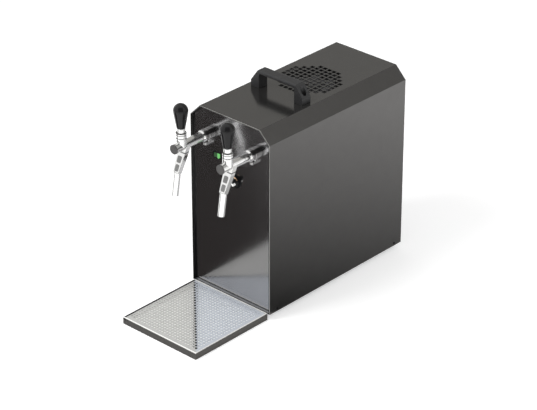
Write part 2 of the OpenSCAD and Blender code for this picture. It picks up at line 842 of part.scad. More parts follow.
// Air pump on the rear panel, above its outlet fitting
module air_pump() {
    bracket = [pump_w + 16, 3, 20];
    color("#3f4245") translate([air_x, rear_y - sheet - pump_d / 2, pump_z]) {
        linear_extrude(pump_h) soft_square(pump_w, pump_d, 6);
        slab(bracket, [0, (pump_d - bracket.y) / 2, (pump_h - bracket.z) / 2]);
        translate([0, 0, pump_h]) cylinder(h = pump_h / 7, d = pump_d * 0.75, $fn = 48);
    }
}

module air_outlet() {
    inside = 12;
    nut_t = 4;
    hose_y = rear_y - sheet - 16;
    start_y = rear_y - sheet - inside + 4;
    color("#b8babc") {
        translate([air_x, rear_y + air_l, air_h]) difference() {
            union() {
                forward_bar(air_d, 0, air_l + sheet + inside, 32);
                forward_bar(air_d * 1.5, air_l - nut_t, air_l, 6);
                forward_bar(air_d + 2, 0, nut_t, 32);
            }
            forward_bar(air_bore, -hair, air_l - 1, 32);
        }
        pipe_run([[air_x, start_y, air_h], [air_x, hose_y, air_h], [air_x, hose_y, pump_z]], air_hose_d);
    }
}

// Discharge pipe from the compressor's top, up the rear and into the condenser
module discharge_pipe() {
    run_z = stub_z + discharge_rise;
    pass_y = fan_y + 2 * pass_pitch;
    side_x = cond_w / 2 + 18;
    color("#b06a3c") pipe_run([
        [comp_d / 4, comp_y, stub_z], [comp_d / 4, comp_y, run_z], [side_x, comp_y, run_z],
        [side_x, pass_y, run_z], [side_x, pass_y, cond_z + cond_h / 2],
        [cond_w / 2 + 2, pass_y, cond_z + cond_h / 2]
    ], pipe_d);
}

// Suction pipe from the cold block's rear down to the compressor's top
module suction_pipe() {
    run_z = stub_z + suction_rise;
    color("#b06a3c") pipe_run([
        [-comp_d / 4, comp_y, stub_z], [-comp_d / 4, comp_y, run_z],
        [-comp_d / 4, block_y + block_d - block_inset, run_z]
    ], pipe_d + 1);
}

// Thin line from the condenser, through a filter dryer, to the cold block's lid
module liquid_line() {
    line_d = pipe_d - 2;
    pass_y = fan_y - 2 * pass_pitch;
    side_x = -cond_w / 2 - 17;
    run_z = cond_z - 2 * line_d;
    down_x = -block_w / 3;
    down_y = block_y + block_d * 0.76;
    dryer_z = (block_top + run_z - dryer_l) / 2;
    cone_h = 5;
    color("#b06a3c") {
        pipe_run([
            [-cond_w / 2 - 2, pass_y, cond_z + cond_h / 2], [side_x, pass_y, cond_z + cond_h / 2],
            [side_x, pass_y, run_z], [side_x, down_y, run_z], [down_x, down_y, run_z],
            [down_x, down_y, block_top]
        ], line_d);
        translate([down_x, down_y, dryer_z]) {
            cylinder(h = dryer_l, d = dryer_d, $fn = 32);
            translate([0, 0, -cone_h]) cylinder(h = cone_h, d1 = line_d + 1, d2 = dryer_d, $fn = 32);
            translate([0, 0, dryer_l]) cylinder(h = cone_h, d1 = dryer_d, d2 = line_d + 1, $fn = 32);
        }
    }
}

// Hoses from the shanks' barbs down into the cold block's lid
module beverage_hoses() {
    barb_y = panel_y + shank_tail - barb_l + 2;
    color("#d8d6cc") both_sides(tap_pitch / 2) difference() {
        pipe_run([[0, barb_y, tap_h], [0, hose_bend_y, tap_h], [0, hose_bend_y, block_top]], hose_d);
        translate([0, barb_y - hair, tap_h]) rotate([-90, 0, 0])
            cylinder(h = barb_l - 2 + hair + 0.5, d = barb_d + 0.1, $fn = 32);
    }
}

// Straight lines from the rear inlets to the cold block
module keg_lines() {
    start_y = block_y + block_d - block_inset;
    end_y = rear_y - sheet - inlet_inside;
    color("#d8d6cc") both_sides(inlet_pitch / 2) translate([0, end_y, inlet_h])
        forward_bar(inlet_bore, 0, end_y - start_y, 32);
}

module inlet_fittings() {
    body_l = inlet_l - 6;
    neck_d = inlet_d - 6;
    color("#c9cbcd") both_sides(inlet_pitch / 2) translate([0, rear_y + inlet_l, inlet_h]) difference() {
        union() {
            forward_bar(inlet_d, 0, 8);
            forward_bar(inlet_d - 4, 8, body_l);
            forward_bar(inlet_d + 6, body_l, inlet_l, 6);
            forward_bar(neck_d, inlet_l, inlet_l + sheet + inlet_inside);
            forward_bar(inlet_d + 4, inlet_l + sheet, inlet_l + sheet + 5, 6);
        }
        forward_bar(inlet_bore, -hair, inlet_depth, 48);
    }
}

// Appliance inlet for a mains lead
module power_inlet() {
    flange_t = 3;
    wall_t = 2.5;
    body_l = 24;
    pin = [2, 16, 4];
    tab = [5, 8, 1];
    color("#171717") translate([power_x, rear_y, power_h]) difference() {
        union() {
            slab([power_w + 10, flange_t, power_t + 8], [0, flange_t / 2, -power_t / 2 - 4]);
            slab([power_w - 2 * fit_gap, body_l, power_t - 2 * fit_gap], [0, -body_l / 2, fit_gap - power_t / 2]);
            for (x = [-8, 0, 8]) slab(tab, [x, 1 - body_l - tab.y / 2, 0]);
        }
        slab([power_w - 2 * wall_t, body_l - 4, power_t - 2 * wall_t], [0, -body_l / 4, wall_t - power_t / 2]);
    }
    color("#c9cbcd") translate([power_x, rear_y, power_h])
        for (at = [[-7, -2], [0, 3], [7, -2]]) slab(pin, [at.x, -9, at.y - pin.z / 2]);
}

module thermostat() {
    body_t = 30;
    nose_l = 12;
    color("#8a8d90") translate([therm_x, panel_y + sheet, therm_h]) difference() {
        union() {
            slab([40, body_t, 34], [0, body_t / 2, -17]);
            translate([0, body_t, 0]) forward_bar(therm_spindle_d + 3, 0, body_t + sheet, 32);
            slab([3, 6, 30], [16, body_t + 3, -15]);
        }
        translate([0, nose_l, 0])
            forward_bar(therm_spindle_d + 2 * run_gap, 0, nose_l + sheet + hair, 48);
    }
}

// Flat dial plate on the panel, with a shallow seat round the knob
module thermostat_dial() {
    plate_d = therm_knob_d + 2 * dial_w;
    color("#1a1a1b") translate([therm_x, panel_y, therm_h]) difference() {
        union() {
            forward_bar(plate_d - 1, 0, dial_h);
            forward_bar(plate_d, 0, dial_h - 0.5);
        }
        forward_bar(therm_spindle_d + 4, -hair, dial_h + hair, 32);
    }
}

// The knob turns above the dial: a round skirt with a raised index, and a grip bar across it
module thermostat_knob() {
    skirt_from = dial_h + fit_gap;
    bevel = 1;
    index_w = 1.9;
    grip_l = therm_knob_d - 3;
    color("#141415") translate([therm_x, panel_y, therm_h]) {
        forward_bar(therm_knob_d, skirt_from, therm_skirt_h - bevel);
        translate([0, bevel - therm_skirt_h, 0]) rotate([90, 0, 0])
            cylinder(h = bevel, d1 = therm_knob_d, d2 = therm_knob_d - 2 * bevel);
        rotate([0, index_turn, 0]) {
            slab([therm_grip_w, therm_knob_h - therm_skirt_h + hair, grip_l],
                 [0, -(therm_knob_h + therm_skirt_h - hair) / 2, -grip_l / 2]);
            translate([0, bevel - therm_skirt_h, 0]) rotate([90, index_span / 2 - 90, 0])
                rotate_extrude(angle = index_span)
                translate([therm_knob_d / 2 - index_w, 0]) square([index_w, bevel + 0.3]);
        }
        translate([0, therm_spindle_l, 0])
            forward_bar(therm_spindle_d, 0, therm_spindle_l + skirt_from + hair, 48);
    }
}

module switch_housing() {
    color("#161616") translate([-rocker_x, panel_y, rocker_h]) difference() {
        union() {
            slab([rocker_rim_w, 2, rocker_rim_h], [0, -1, -rocker_rim_h / 2]);
            slab([rocker_rim_w - 2 - 2 * fit_gap, 22, rocker_rim_h - 2 - 2 * fit_gap],
                 [0, 11, -rocker_rim_h / 2 + 1 + fit_gap]);
            for (x = [-5, 5]) slab([1, 8, 6], [x, 26, -3]);
        }
        slab([rocker_rim_w - 4, 16, rocker_rim_h - 4], [0, 3, -rocker_rim_h / 2 + 2]);
    }
}

// A shallow roof-shaped rocker that tips about an upright pin
module switch_rocker() {
    half = rocker_rim_w / 2 - 3.2;
    tall = rocker_rim_h - 5;
    rise = 2.6;
    color("#7fd37a") translate([-rocker_x, panel_y + 2, rocker_h - tall / 2]) {
        linear_extrude(tall) rotate(-6) polygon([
            [-half, -3.2 - rise], [0, -3.2], [half, -3.2 - rise], [half - 0.6, 1], [0, 4.5], [0.6 - half, 1]
        ]);
        translate([0, 0, -0.45]) cylinder(h = tall + 0.9, d = 2.4, $fn = 32);
    }
}

module drip_tray() {
    in_w = tray_w - 2 * tray_wall;
    in_d = tray_d - 2 * tray_wall;
    color("#7a7977") translate([0, tray_y, 0]) difference() {
        slab([tray_w, tray_d, tray_h], [0, 0, 0]);
        slab([tray_w - 2 * rim_w, tray_d - 2 * rim_w, tray_h], [0, 0, tray_h - 2]);
        slab([in_w, in_d, tray_h - 2 - tray_floor], [0, 0, tray_floor]);
        intersection() {
            translate([0, in_d / 2, tray_floor]) rotate([90, 0, 0]) linear_extrude(in_d)
                polygon([[-in_w / 2, hair], [-in_w / 2, 0], [0, -crease_depth], [in_w / 2, 0], [in_w / 2, hair]]);
            translate([-in_w / 2, 0, tray_floor]) rotate([90, 0, 90]) linear_extrude(in_w)
                polygon([[-in_d / 2, hair], [-in_d / 2, 0], [0, -crease_depth], [in_d / 2, 0], [in_d / 2, hair]]);
        }
    }
}

// Round holes of the grate, as many as fit inside its plain border. Along one diagonal they
// become slots, the line towards which the beer drains
module perforation() {
    across = floor((grate_w - 2 * perf_border - perf_hole) / perf_pitch);
    along = floor((grate_d - 2 * perf_border - perf_hole) / perf_pitch);
    for (i = [0 : across], j = [0 : along])
        translate([(i - across / 2) * perf_pitch, (j - along / 2) * perf_pitch])
            if (i + j == min(across, along)) rotate(-45) square([slot_l, slot_w], center = true);
            else circle(d = perf_hole, $fn = 24);
}

module drip_grate() {
    color("#c4c6c6") translate([0, tray_y, grate_top - grate_t]) linear_extrude(grate_t) difference() {
        square([grate_w, grate_d], center = true);
        perforation();
    }
}

// The upright ring under the grate that stands on the tray's floor
module grate_frame() {
    foot_z = tray_floor + fit_gap;
    color("#b4b6b6") translate([0, tray_y, foot_z]) linear_extrude(grate_top - grate_t - foot_z) difference() {
        square([grate_w, grate_d], center = true);
        square([grate_w - 2 * grate_t, grate_d - 2 * grate_t], center = true);
    }
}

// Places a tap's piece on its own axis, at the front panel's face
module at_tap(side) {
    translate([side * tap_pitch / 2, panel_y, tap_h]) children();
}

module shank(side) {
    head_d = coupling_d - 3;
    color("#c7c9cb") at_tap(side) difference() {
        union() {
            forward_bar(head_d, sleeve_l, body_rear);
            forward_bar(shank_d, barb_l - shank_tail, sleeve_l);
            forward_bar(barb_d, -shank_tail, barb_l - shank_tail, 48);
        }
        forward_bar(shank_bore, -shank_tail - hair, body_rear + hair, 48);
    }
}

module lock_nuts() {
    color("#b3b5b7") for (side = [-1, 1]) at_tap(side) translate([0, sheet + lock_nut_t, 0]) difference() {
        forward_bar(lock_nut_w / cos(30), 0, lock_nut_t, 6);
        forward_bar(shank_d + 0.2, -hair, lock_nut_t + hair);
    }
}

module sleeve(side) {
    color("#d6d8da") at_tap(side) difference() {
        union() {
            forward_bar(sleeve_d, 0, sleeve_l - 1);
            translate([0, -sleeve_l + 1, 0]) rotate([90, 0, 0]) cylinder(h = 1, d1 = sleeve_d, d2 = sleeve_d - 2);
            translate([0, -spindle_out, -sleeve_d / 2 - boss_drop])
                cylinder(h = 2 * boss_drop, d = flow_spindle_d + 4, $fn = 48);
        }
        forward_bar(shank_d + 0.2, -hair, sleeve_l + hair);
        translate([0, -spindle_out, -sleeve_d])
            cylinder(h = sleeve_d - shank_d / 2 - 0.6, d = flow_spindle_d + 2 * run_gap, $fn = 48);
    }
}

module coupling_nut(side) {
    lip_l = 5.5;
    front = sleeve_l + coupling_l;
    color("#dcdee0") at_tap(side) difference() {
        union() {
            forward_bar(coupling_d - 1.4, sleeve_l, sleeve_l + 2);
            forward_bar(coupling_d, sleeve_l + 2, front - 4);
            translate([0, 4 - front, 0]) rotate([90, 0, 0]) cylinder(h = 4, d1 = coupling_d, d2 = body_d + 2.6);
        }
        forward_bar(coupling_d - 3 + 0.2, sleeve_l - hair, front - lip_l);
        forward_bar(body_d + 2 * fit_gap + 1.6, sleeve_l, front + hair);
        for (turn = [30 : 360 / slot_count : 389]) rotate([0, turn, 0])
            slab([4, 5, 2.4], [0, -front + 7.5, coupling_d / 2 - 1.1]);
    }
}

// The spout's neck: a slab that leans forward and narrows, cut square to the bend
module neck() {
    lean = tan(neck_tilt);
    drop = bend_drop + 8;
    top_y = bend_y + bend_drop * lean;
    half_t = neck_t / 2;
    intersection() {
        translate([-neck_top_w, 0, 0]) rotate([90, 0, 90]) linear_extrude(2 * neck_top_w)
            polygon([
                [top_y - half_t, 0], [top_y + half_t, 0],
                [top_y + half_t - drop * lean, -drop], [top_y - half_t - drop * lean, -drop]
            ]);
        translate([0, body_d, 0]) rotate([90, 0, 0]) linear_extrude(2 * body_reach)
            polygon([
                [-neck_top_w / 2, 0], [neck_top_w / 2, 0], [neck_top_w / 2, -neck_shoulder],
                [tube_d / 2 - 0.2, -bend_drop], [tube_d / 2 - 0.2, -drop], [0.2 - tube_d / 2, -drop],
                [0.2 - tube_d / 2, -bend_drop], [-neck_top_w / 2, -neck_shoulder]
            ]);
        above_bend();
    }
}

// Everything above the slanted plane at the bend
module above_bend() {
    translate([0, bend_y, -bend_drop]) rotate([-bend_tilt, 0, 0]) slab([60, 120, 90], [0, 0, 0]);
}

// Two shallow bare panels on the neck's sloping front face
module neck_panels() {
    lean = tan(neck_tilt);
    for (panel = [[-22.5, 15, 7.5, 1.2], [-41, 17, 7.5, 0.7]]) {
        middle = panel[0] - panel[1] / 2 + 2;
        face_y = bend_y + (bend_drop + middle) * lean - neck_t / 2;
        translate([0, face_y, middle]) rotate([-neck_tilt, 0, 0])
            slab([panel[2], 2 * panel[3], panel[1] - 2], [0, 0, 1 - panel[1] / 2]);
    }
}

module tap_body(side) {
    boss_slot = 10.1;
    color("#d9dbdd") at_tap(side) difference() {
        union() {
            forward_bar(coupling_d - 3, body_rear, body_rear + 3);
            forward_bar(body_d, body_rear, body_reach);
            translate([0, -body_rear - 3, 0]) rotate([90, 0, 0])
                cylinder(h = 17, d1 = body_d + 1.6, d2 = body_d);
            translate([0, -lever_reach, 0]) cylinder(h = boss_h, d = collar_d);
            neck();
        }
        forward_bar(valve_bore, land_reach - valve_land, body_reach + hair);
        forward_bar(chamber_d, body_rear - hair, land_reach - valve_land);
        translate([0, -lever_reach, 0]) {
            cylinder(h = boss_h + hair, d = 12, $fn = 48);
            slab([finger_d + 1, 8 + boss_slot, 12], [0, boss_slot / 2 - 4, 0]);
            slab([finger_d + 1, 7.5 + 9, boss_h], [0, 0.75, hair]);
        }
        translate([0, bend_y, -bend_drop]) rotate([-neck_tilt, 0, 0])
            translate([0, 0, -12]) cylinder(h = bend_drop / cos(neck_tilt) + 12, d = tube_bore - 1.4, $fn = 48);
        neck_panels();
        translate([0, -lever_reach, boss_h - 1.2]) difference() {
            cylinder(h = 3, d = collar_d + 2);
            cylinder(h = 3, d = collar_d - 1.6);
        }
    }
}

module front_cap(side) {
    color("#9b9b9b") at_tap(side) difference() {
        union() {
            forward_bar(body_d + 0.4, body_reach, body_reach + cap_t - 0.6);
            forward_bar(body_d - 0.8, body_reach, body_reach + cap_t);
            forward_bar(valve_bore - 0.2, body_reach - 1.5, body_reach + 1);
        }
        forward_bar(body_d - 4, body_reach + cap_t - 0.5, body_reach + cap_t + hair);
    }
}

module bonnet(side) {
    socket_d = ball_d + 2 * fit_gap;
    wall_h = collar_h - boss_h;
    color("#dcdee0") at_tap(side) translate([0, -lever_reach, boss_h]) difference() {
        union() {
            cylinder(h = wall_h, d = collar_d);
        }
        translate([0, 0, wall_h]) sphere(d = socket_d, $fn = 96);
        translate([0, 0, -hair]) cylinder(h = wall_h, d = 12.4, $fn = 48);
        translate([0, 0, wall_h - 2.2]) cylinder(h = 2.3, d1 = socket_d - 0.3, d2 = collar_d - 1.2);
    }
}

module spout(side) {
    color("#e2e4e5") at_tap(side) difference() {
        translate([0, bend_y, -bend_drop]) rotate([-tube_tilt, 0, 0]) difference() {
            translate([0, 0, -tube_l]) cylinder(h = tube_l + 10, d = tube_d);
            translate([0, 0, -tube_l - hair]) cylinder(h = tube_l + 12, d = tube_bore, $fn = 48);
        }
        above_bend();
    }
}

// Ball, ferrule, stud and finger, turned in one piece about the lever's own axis
module lever(side) {
    color("#d3d5d7") at_tap(side) translate([0, -lever_reach, pivot_h]) {
        rotate_extrude($fn = 96) {
            intersection() {
                circle(d = ball_d, $fn = 96);
                translate([0, -ball_d]) square([ball_d, ball_d]);
            }
            square([ball_d / 2, ferrule_l - 1.2]);
            square([ball_d / 2 - 1, ferrule_l]);
        }
        cylinder(h = ferrule_l + 20, d = 8, $fn = 48);
        translate([0, 0, -finger_l]) cylinder(h = finger_l, d = finger_d, $fn = 48);
    }
}

module knob(side) {
    dome_r = knob_d / 2;
    dome_z = knob_l - dome_r;
    color("#1b1a1c") at_tap(side) translate([0, -lever_reach, pivot_h + ferrule_l]) difference() {
        rotate_extrude($fn = 96) {
            polygon([
                [0, 0], [knob_foot_d / 2 - 0.8, 0], [knob_foot_d / 2, 0.8],
                [dome_r - 0.25, dome_z - 3], [dome_r, dome_z], [0, dome_z]
            ]);
            intersection() {
                translate([0, dome_z]) circle(dome_r, $fn = 96);
                translate([0, dome_z]) square([dome_r, dome_r]);
            }
        }
        translate([0, 0, dome_z + 3.4]) difference() {
            cylinder(h = 0.7, d = knob_d + 2);
            cylinder(h = 0.7, r = sqrt(dome_r * dome_r - 3.4 * 3.4) - 0.5);
        }
        translate([0, 0, -hair]) cylinder(h = 21 + hair, d = 8.2, $fn = 48);
    }
}

// Valve plunger: a slotted head under the lever, a thin rod and the sealing land
module plunger(side) {
    head_front = lever_reach + 12;
    head_rear = lever_reach - 6;
    slide_d = valve_bore - 2 * run_gap;
    color("#bfc1c3") at_tap(side) difference() {
        union() {
            forward_bar(slide_d, head_rear, head_front);
            forward_bar(6, land_reach - hair, head_rear + hair, 48);
            forward_bar(slide_d, land_reach - valve_land + 1, land_reach + 1);
        }
        slab([finger_d + 1, finger_d + 2.6, valve_bore], [0, -lever_reach, 1]);
        slab([valve_bore, 12.2, 6], [0, -lever_reach, -valve_bore / 2 - 2]);
    }
}

module compensator(side) {
    top_z = -shank_d / 2 - 1;
    paddle_t = 5.5;
    paddle_z = -sleeve_d / 2 - boss_drop - fit_gap - paddle_t;
    color("#cfd1d3") at_tap(side) translate([0, -spindle_out, 0]) {
        translate([0, 0, paddle_z + 1]) cylinder(h = top_z - paddle_z - 1, d = flow_spindle_d, $fn = 48);
        translate([0, 0, paddle_z]) linear_extrude(paddle_t) {
            circle(d = paddle_w, $fn = 48);
            translate([0, -paddle_l]) circle(d = paddle_w, $fn = 48);
            translate([-paddle_w / 2, -paddle_l]) square([paddle_w, paddle_l]);
        }
    }
}

cover();
cover_screws();
base_plate();
feet();
front_panel();
rear_panel();
panel_screws();
handle();
handle_screws();
support_frame();
fan_frame();
fan_screws();
fan_rotor();
fan_shroud();
condenser();
compressor();
compressor_mounts();
cold_block();
air_pump();
air_outlet();
discharge_pipe();
suction_pipe();
liquid_line();
beverage_hoses();
keg_lines();
inlet_fittings();
power_inlet();
thermostat();
thermostat_dial();
thermostat_knob();
switch_housing();
switch_rocker();
drip_tray();
drip_grate();
grate_frame();
shank(-1);  // shank_left
shank(1);  // shank_right
lock_nuts();
sleeve(-1);  // sleeve_left
sleeve(1);  // sleeve_right
coupling_nut(-1);  // coupling_nut_left
coupling_nut(1);  // coupling_nut_right
tap_body(-1);  // tap_body_left
tap_body(1);  // tap_body_right
front_cap(-1);  // front_cap_left
front_cap(1);  // front_cap_right
bonnet(-1);  // bonnet_left
bonnet(1);  // bonnet_right
spout(-1);  // spout_left
spout(1);  // spout_right
lever(-1);  // lever_left
lever(1);  // lever_right
knob(-1);  // knob_left
knob(1);  // knob_right
plunger(-1);  // plunger_left
plunger(1);  // plunger_right
compensator(-1);  // compensator_left
compensator(1);  // compensator_right
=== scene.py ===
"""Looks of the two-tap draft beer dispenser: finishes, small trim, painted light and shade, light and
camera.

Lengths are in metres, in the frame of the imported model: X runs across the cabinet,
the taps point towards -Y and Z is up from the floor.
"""
import json
import math

import bmesh
import bpy
from mathutils import Matrix, Vector


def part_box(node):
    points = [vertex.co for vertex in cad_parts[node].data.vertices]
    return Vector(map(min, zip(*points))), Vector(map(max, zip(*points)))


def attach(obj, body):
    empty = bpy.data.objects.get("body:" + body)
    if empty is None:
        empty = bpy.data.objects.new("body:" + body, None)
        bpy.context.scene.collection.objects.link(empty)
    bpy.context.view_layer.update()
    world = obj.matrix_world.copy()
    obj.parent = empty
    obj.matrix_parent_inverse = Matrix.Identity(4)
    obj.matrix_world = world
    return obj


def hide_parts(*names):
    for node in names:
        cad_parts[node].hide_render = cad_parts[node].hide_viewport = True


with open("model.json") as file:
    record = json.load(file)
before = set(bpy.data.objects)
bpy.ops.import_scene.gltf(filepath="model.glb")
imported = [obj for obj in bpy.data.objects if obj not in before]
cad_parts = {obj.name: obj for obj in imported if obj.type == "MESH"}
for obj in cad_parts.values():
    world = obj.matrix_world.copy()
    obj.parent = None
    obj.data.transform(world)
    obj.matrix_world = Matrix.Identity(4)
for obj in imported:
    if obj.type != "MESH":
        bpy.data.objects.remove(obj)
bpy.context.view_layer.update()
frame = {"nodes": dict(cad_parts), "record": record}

MM = 0.001

# Camera, fitted to the photograph
CAMERA_AZIMUTH = math.radians(42.721)
CAMERA_ELEVATION = math.radians(28.417)
CAMERA_DISTANCE = 4.806862
CAMERA_TARGET_HEIGHT = 0.200
CAMERA_SHIFT_RIGHT = 0.07833
CAMERA_SHIFT_UP = 0.02717
CAMERA_LENS = 157.26
CAMERA_SENSOR = 36.0

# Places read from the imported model
cover_low, cover_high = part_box("cover")
dial_low, dial_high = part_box("thermostat_dial")
rocker_low, rocker_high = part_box("switch_rocker")
tray_low, tray_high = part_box("drip_tray")
grate_low, grate_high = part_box("drip_grate")
panel_low, panel_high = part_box("front_panel")
nut_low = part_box("coupling_nut_right")[0]
collar_low, collar_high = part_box("bonnet_right")
fan_low, fan_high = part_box("fan_frame")
spout_low, spout_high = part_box("spout_right")

# The taps' necks: their lean, and the bend where the spout starts
NECK_TILT = math.radians(23.6)
NECK_THICKNESS = 12 * MM
NECK_BEND_Y = -196.35 * MM
NECK_BEND_Z = 315.5 * MM

# The grey panels of a neck: height above the bend and width of each, and what both share
NECK_PANELS = ((28 * MM, 11.4 * MM), (11.5 * MM, 10.4 * MM))
NECK_PANEL_LENGTH = 14.4 * MM
NECK_PANEL_CORNER = 2.6 * MM

# Holes of the grate, the most of its cell that a slot fills, and how much nearer to the left and rear
# edges the field of holes lies
GRATE_PITCH = 7.4 * MM
GRATE_HOLE = 4.7 * MM
GRATE_ROWS = 26
GRATE_SLOT = (7.8 * MM, 5.0 * MM)
SLOT_SHARE = 0.92
GRATE_SHIFT = 3 * MM
HOLE_CORNERS = 16

# How much nearer to the cover's edge the panel and its controls are shown
PANEL_FORWARD = 6.5 * MM

# Share of its width that the rocker keeps
ROCKER_SHARE = 0.86

# Height of the studio cards over the table
CARD_LIFT = 0.6 * MM

# The dial's printed ring stands this far in front of the panel
DIAL_SKIRT = 5.8 * MM

# The cover's slanted corners, and the bright line of painted highlight round its front edge. Beside each
# slant the line's inner corner is set back along the straight edge, by EDGE_MITRE of the line's width
COVER_CHAMFER = 27 * MM
EDGE_WIDTH = 1.1 * MM
EDGE_DEPTH = 0.15 * MM
EDGE_MITRE = 0.41

# The tray's folded rim
RIM_WIDTH = 3.2 * MM
RIM_RISE = 0.1 * MM
RIM_DROP = 0.8 * MM
CORNER_BEND = 0.9 * MM

# Holes of the grille over the fan: how many lie beside the middle one, and where the corners are cut off
GRILLE_PITCH = 12.2 * MM
GRILLE_HOLE = 8.4 * MM
GRILLE_REACH = 5
GRILLE_CORNER = 7


# Materials


class Finish:
    """A material in the making: one principled shader and the textures that feed it."""

    def __init__(self, name, color, roughness, metallic=0.0, **sockets):
        self.material = bpy.data.materials.new(name)
        self.material.use_nodes = True
        self.tree = self.material.node_tree
        self.shader = self.tree.nodes["Principled BSDF"]
        self.color = color
        self.roughness = roughness
        self.shader.inputs["Base Color"].default_value = (*color, 1)
        self.shader.inputs["Roughness"].default_value = roughness
        self.shader.inputs["Metallic"].default_value = metallic
        for socket, value in sockets.items():
            self.shader.inputs[socket.replace("_", " ")].default_value = value
        coordinates = self.add("ShaderNodeTexCoord")
        self.place = coordinates.outputs["Object"]
        self.normal = None

    def add(self, kind, **settings):
        node = self.tree.nodes.new(kind)
        for name, value in settings.items():
            setattr(node, name, value)
        return node

    def link(self, output, socket):
        self.tree.links.new(output, socket)

    def axis(self, name):
        """The place along X, Y or Z."""
        place = self.add("ShaderNodeSeparateXYZ")
        self.link(self.place, place.inputs["Vector"])
        return place.outputs[name]

    def calculate(self, operation, first, second=None):
        """A math node on an output and, where it takes one, a number or another output."""
        node = self.add("ShaderNodeMath", operation=operation)
        self.link(first, node.inputs[0])
        if isinstance(second, bpy.types.NodeSocket):
            self.link(second, node.inputs[1])
        elif second is not None:
            node.inputs[1].default_value = second
        return node.outputs[0]

    def mix_colors(self, share, first, second, **settings):
        """Goes from the first colour to the second; each is a colour or an output."""
        node = self.add("ShaderNodeMix", data_type="RGBA", **settings)
        # Sockets 6 and 7 are the node's two colours, and output 2 is the mixed one
        for socket, value in zip((node.inputs[0], node.inputs[6], node.inputs[7]), (share, first, second)):
            if isinstance(value, bpy.types.NodeSocket):
                self.link(value, socket)
            elif isinstance(value, float):
                socket.default_value = value
            else:
                socket.default_value = (*value, 1)
        return node.outputs[2]

    def paint(self, color):
        """Feeds an output to the base colour."""
        self.link(color, self.shader.inputs["Base Color"])
        return self

    def painted(self):
        """The output that feeds the base colour so far."""
        return self.shader.inputs["Base Color"].links[0].from_socket

    def noise(self, size, stretch=(1, 1, 1), detail=3.0):
        """Noise with features of about that size in metres, drawn out along the axes."""
        mapping = self.add("ShaderNodeMapping")
        mapping.inputs["Scale"].default_value = [1 / (size * s) for s in stretch]
        self.link(self.place, mapping.inputs["Vector"])
        noise = self.add("ShaderNodeTexNoise")
        noise.inputs["Scale"].default_value = 1.0
        noise.inputs["Detail"].default_value = detail
        self.link(mapping.outputs["Vector"], noise.inputs["Vector"])
        return noise.outputs["Fac"]

    def remap(self, source, low, high, start=0.3, end=0.7):
        """Spreads the range from start to end over low to high."""
        node = self.add("ShaderNodeMapRange")
        node.inputs["From Min"].default_value = start
        node.inputs["From Max"].default_value = end
        node.inputs["To Min"].default_value = low
        node.inputs["To Max"].default_value = high
        self.link(source, node.inputs["Value"])
        return node.outputs["Result"]

    def vary_color(self, source, spread, tint=(1, 1, 1)):
        """Lightens and darkens the colour by that share, towards a tint."""
        dark = [c * (1 - spread) for c in self.color]
        light = [min(1, c * (1 + spread) * t) for c, t in zip(self.color, tint)]
        return self.paint(self.mix_colors(self.remap(source, 0, 1), dark, light))

    def darken_inside(self, limit, share):
        """Paints shade on the walls inside the cover's front, where |x|, y and z stay below the limit: a
        darker colour there, painted shade of the recess.
        """
        inside = None
        places = (self.calculate("ABSOLUTE", self.axis("X")), self.axis("Y"), self.axis("Z"))
        for value, bound in zip(places, limit):
            below = self.calculate("LESS_THAN", value, bound)
            inside = below if inside is None else self.calculate("MULTIPLY", inside, below)
        return self.paint(self.mix_colors(inside, self.painted(), [c * share for c in self.color]))

    def vary_roughness(self, source, spread):
        low, high = self.roughness * (1 - spread), self.roughness * (1 + spread)
        self.link(self.remap(source, low, high), self.shader.inputs["Roughness"])
        return self

    def smooth_above(self, level, roughness):
        """Gives everything above that height its own roughness."""
        mix = self.add("ShaderNodeMix", data_type="FLOAT")
        # Sockets 2 and 3 are the node's two numbers
        self.link(self.calculate("GREATER_THAN", self.axis("Z"), level), mix.inputs[0])
        self.link(self.shader.inputs["Roughness"].links[0].from_socket, mix.inputs[2])
        mix.inputs[3].default_value = roughness
        self.link(mix.outputs[0], self.shader.inputs["Roughness"])
        return self

    def paint_ring_shade(self, levels, width, share=0.1):
        """Paints dark rings of that width at those heights: painted shade, as falls in narrow grooves and
        corners.
        """
        groove = None
        for level in levels:
            near = self.calculate("COMPARE", self.axis("Z"), level)
            near.node.inputs[2].default_value = width / 2
            groove = near if groove is None else self.calculate("MAXIMUM", groove, near)
        return self.paint(self.mix_colors(groove, self.painted(), [c * share for c in self.color]))

    def round_edges(self, radius):
        """Softens sharp edges by that radius in metres."""
        bevel = self.add("ShaderNodeBevel", samples=6)
        bevel.inputs["Radius"].default_value = radius
        self.normal = bevel.outputs["Normal"]
        self.link(self.normal, self.shader.inputs["Normal"])
        return self

    def bump(self, source, depth, strength=1.0):
        """Relief of that depth in metres."""
        node = self.add("ShaderNodeBump")
        node.inputs["Distance"].default_value = depth
        node.inputs["Strength"].default_value = strength
        self.link(source, node.inputs["Height"])
        if self.normal is not None:
            self.link(self.normal, node.inputs["Normal"])
        self.normal = node.outputs["Normal"]
        self.link(self.normal, self.shader.inputs["Normal"])
        return self


def coated_steel():
    """Dark satin sheet of the cover: brushed metal under a tinted coat."""
    f = Finish("coated_steel", (0.140, 0.137, 0.134), 0.30, 0.9)
    f.vary_color(f.noise(0.02, detail=5), 0.02)
    f.vary_roughness(f.noise(0.01, (1, 6, 1)), 0.05)
    f.smooth_above(cover_high.z - 0.5 * MM, roughness=0.15)
    # Painted shade: the walls of the recess behind the cover's front edge are coloured darker
    inside = (cover_high.x - 0.6 * MM, cover_low.y + 12 * MM, cover_high.z - 28 * MM)
    f.darken_inside(inside, share=0.22)
    f.round_edges(0.6 * MM)
    return f.bump(f.noise(0.0006, (1, 30, 1)), 0.004 * MM)


def mirror_steel():
    """Polished dark front panel."""
    f = Finish("mirror_steel", (0.42, 0.417, 0.425), 0.15, 1.0)
    f.vary_color(f.noise(0.08), 0.02)
    return f.vary_roughness(f.noise(0.05), 0.04)


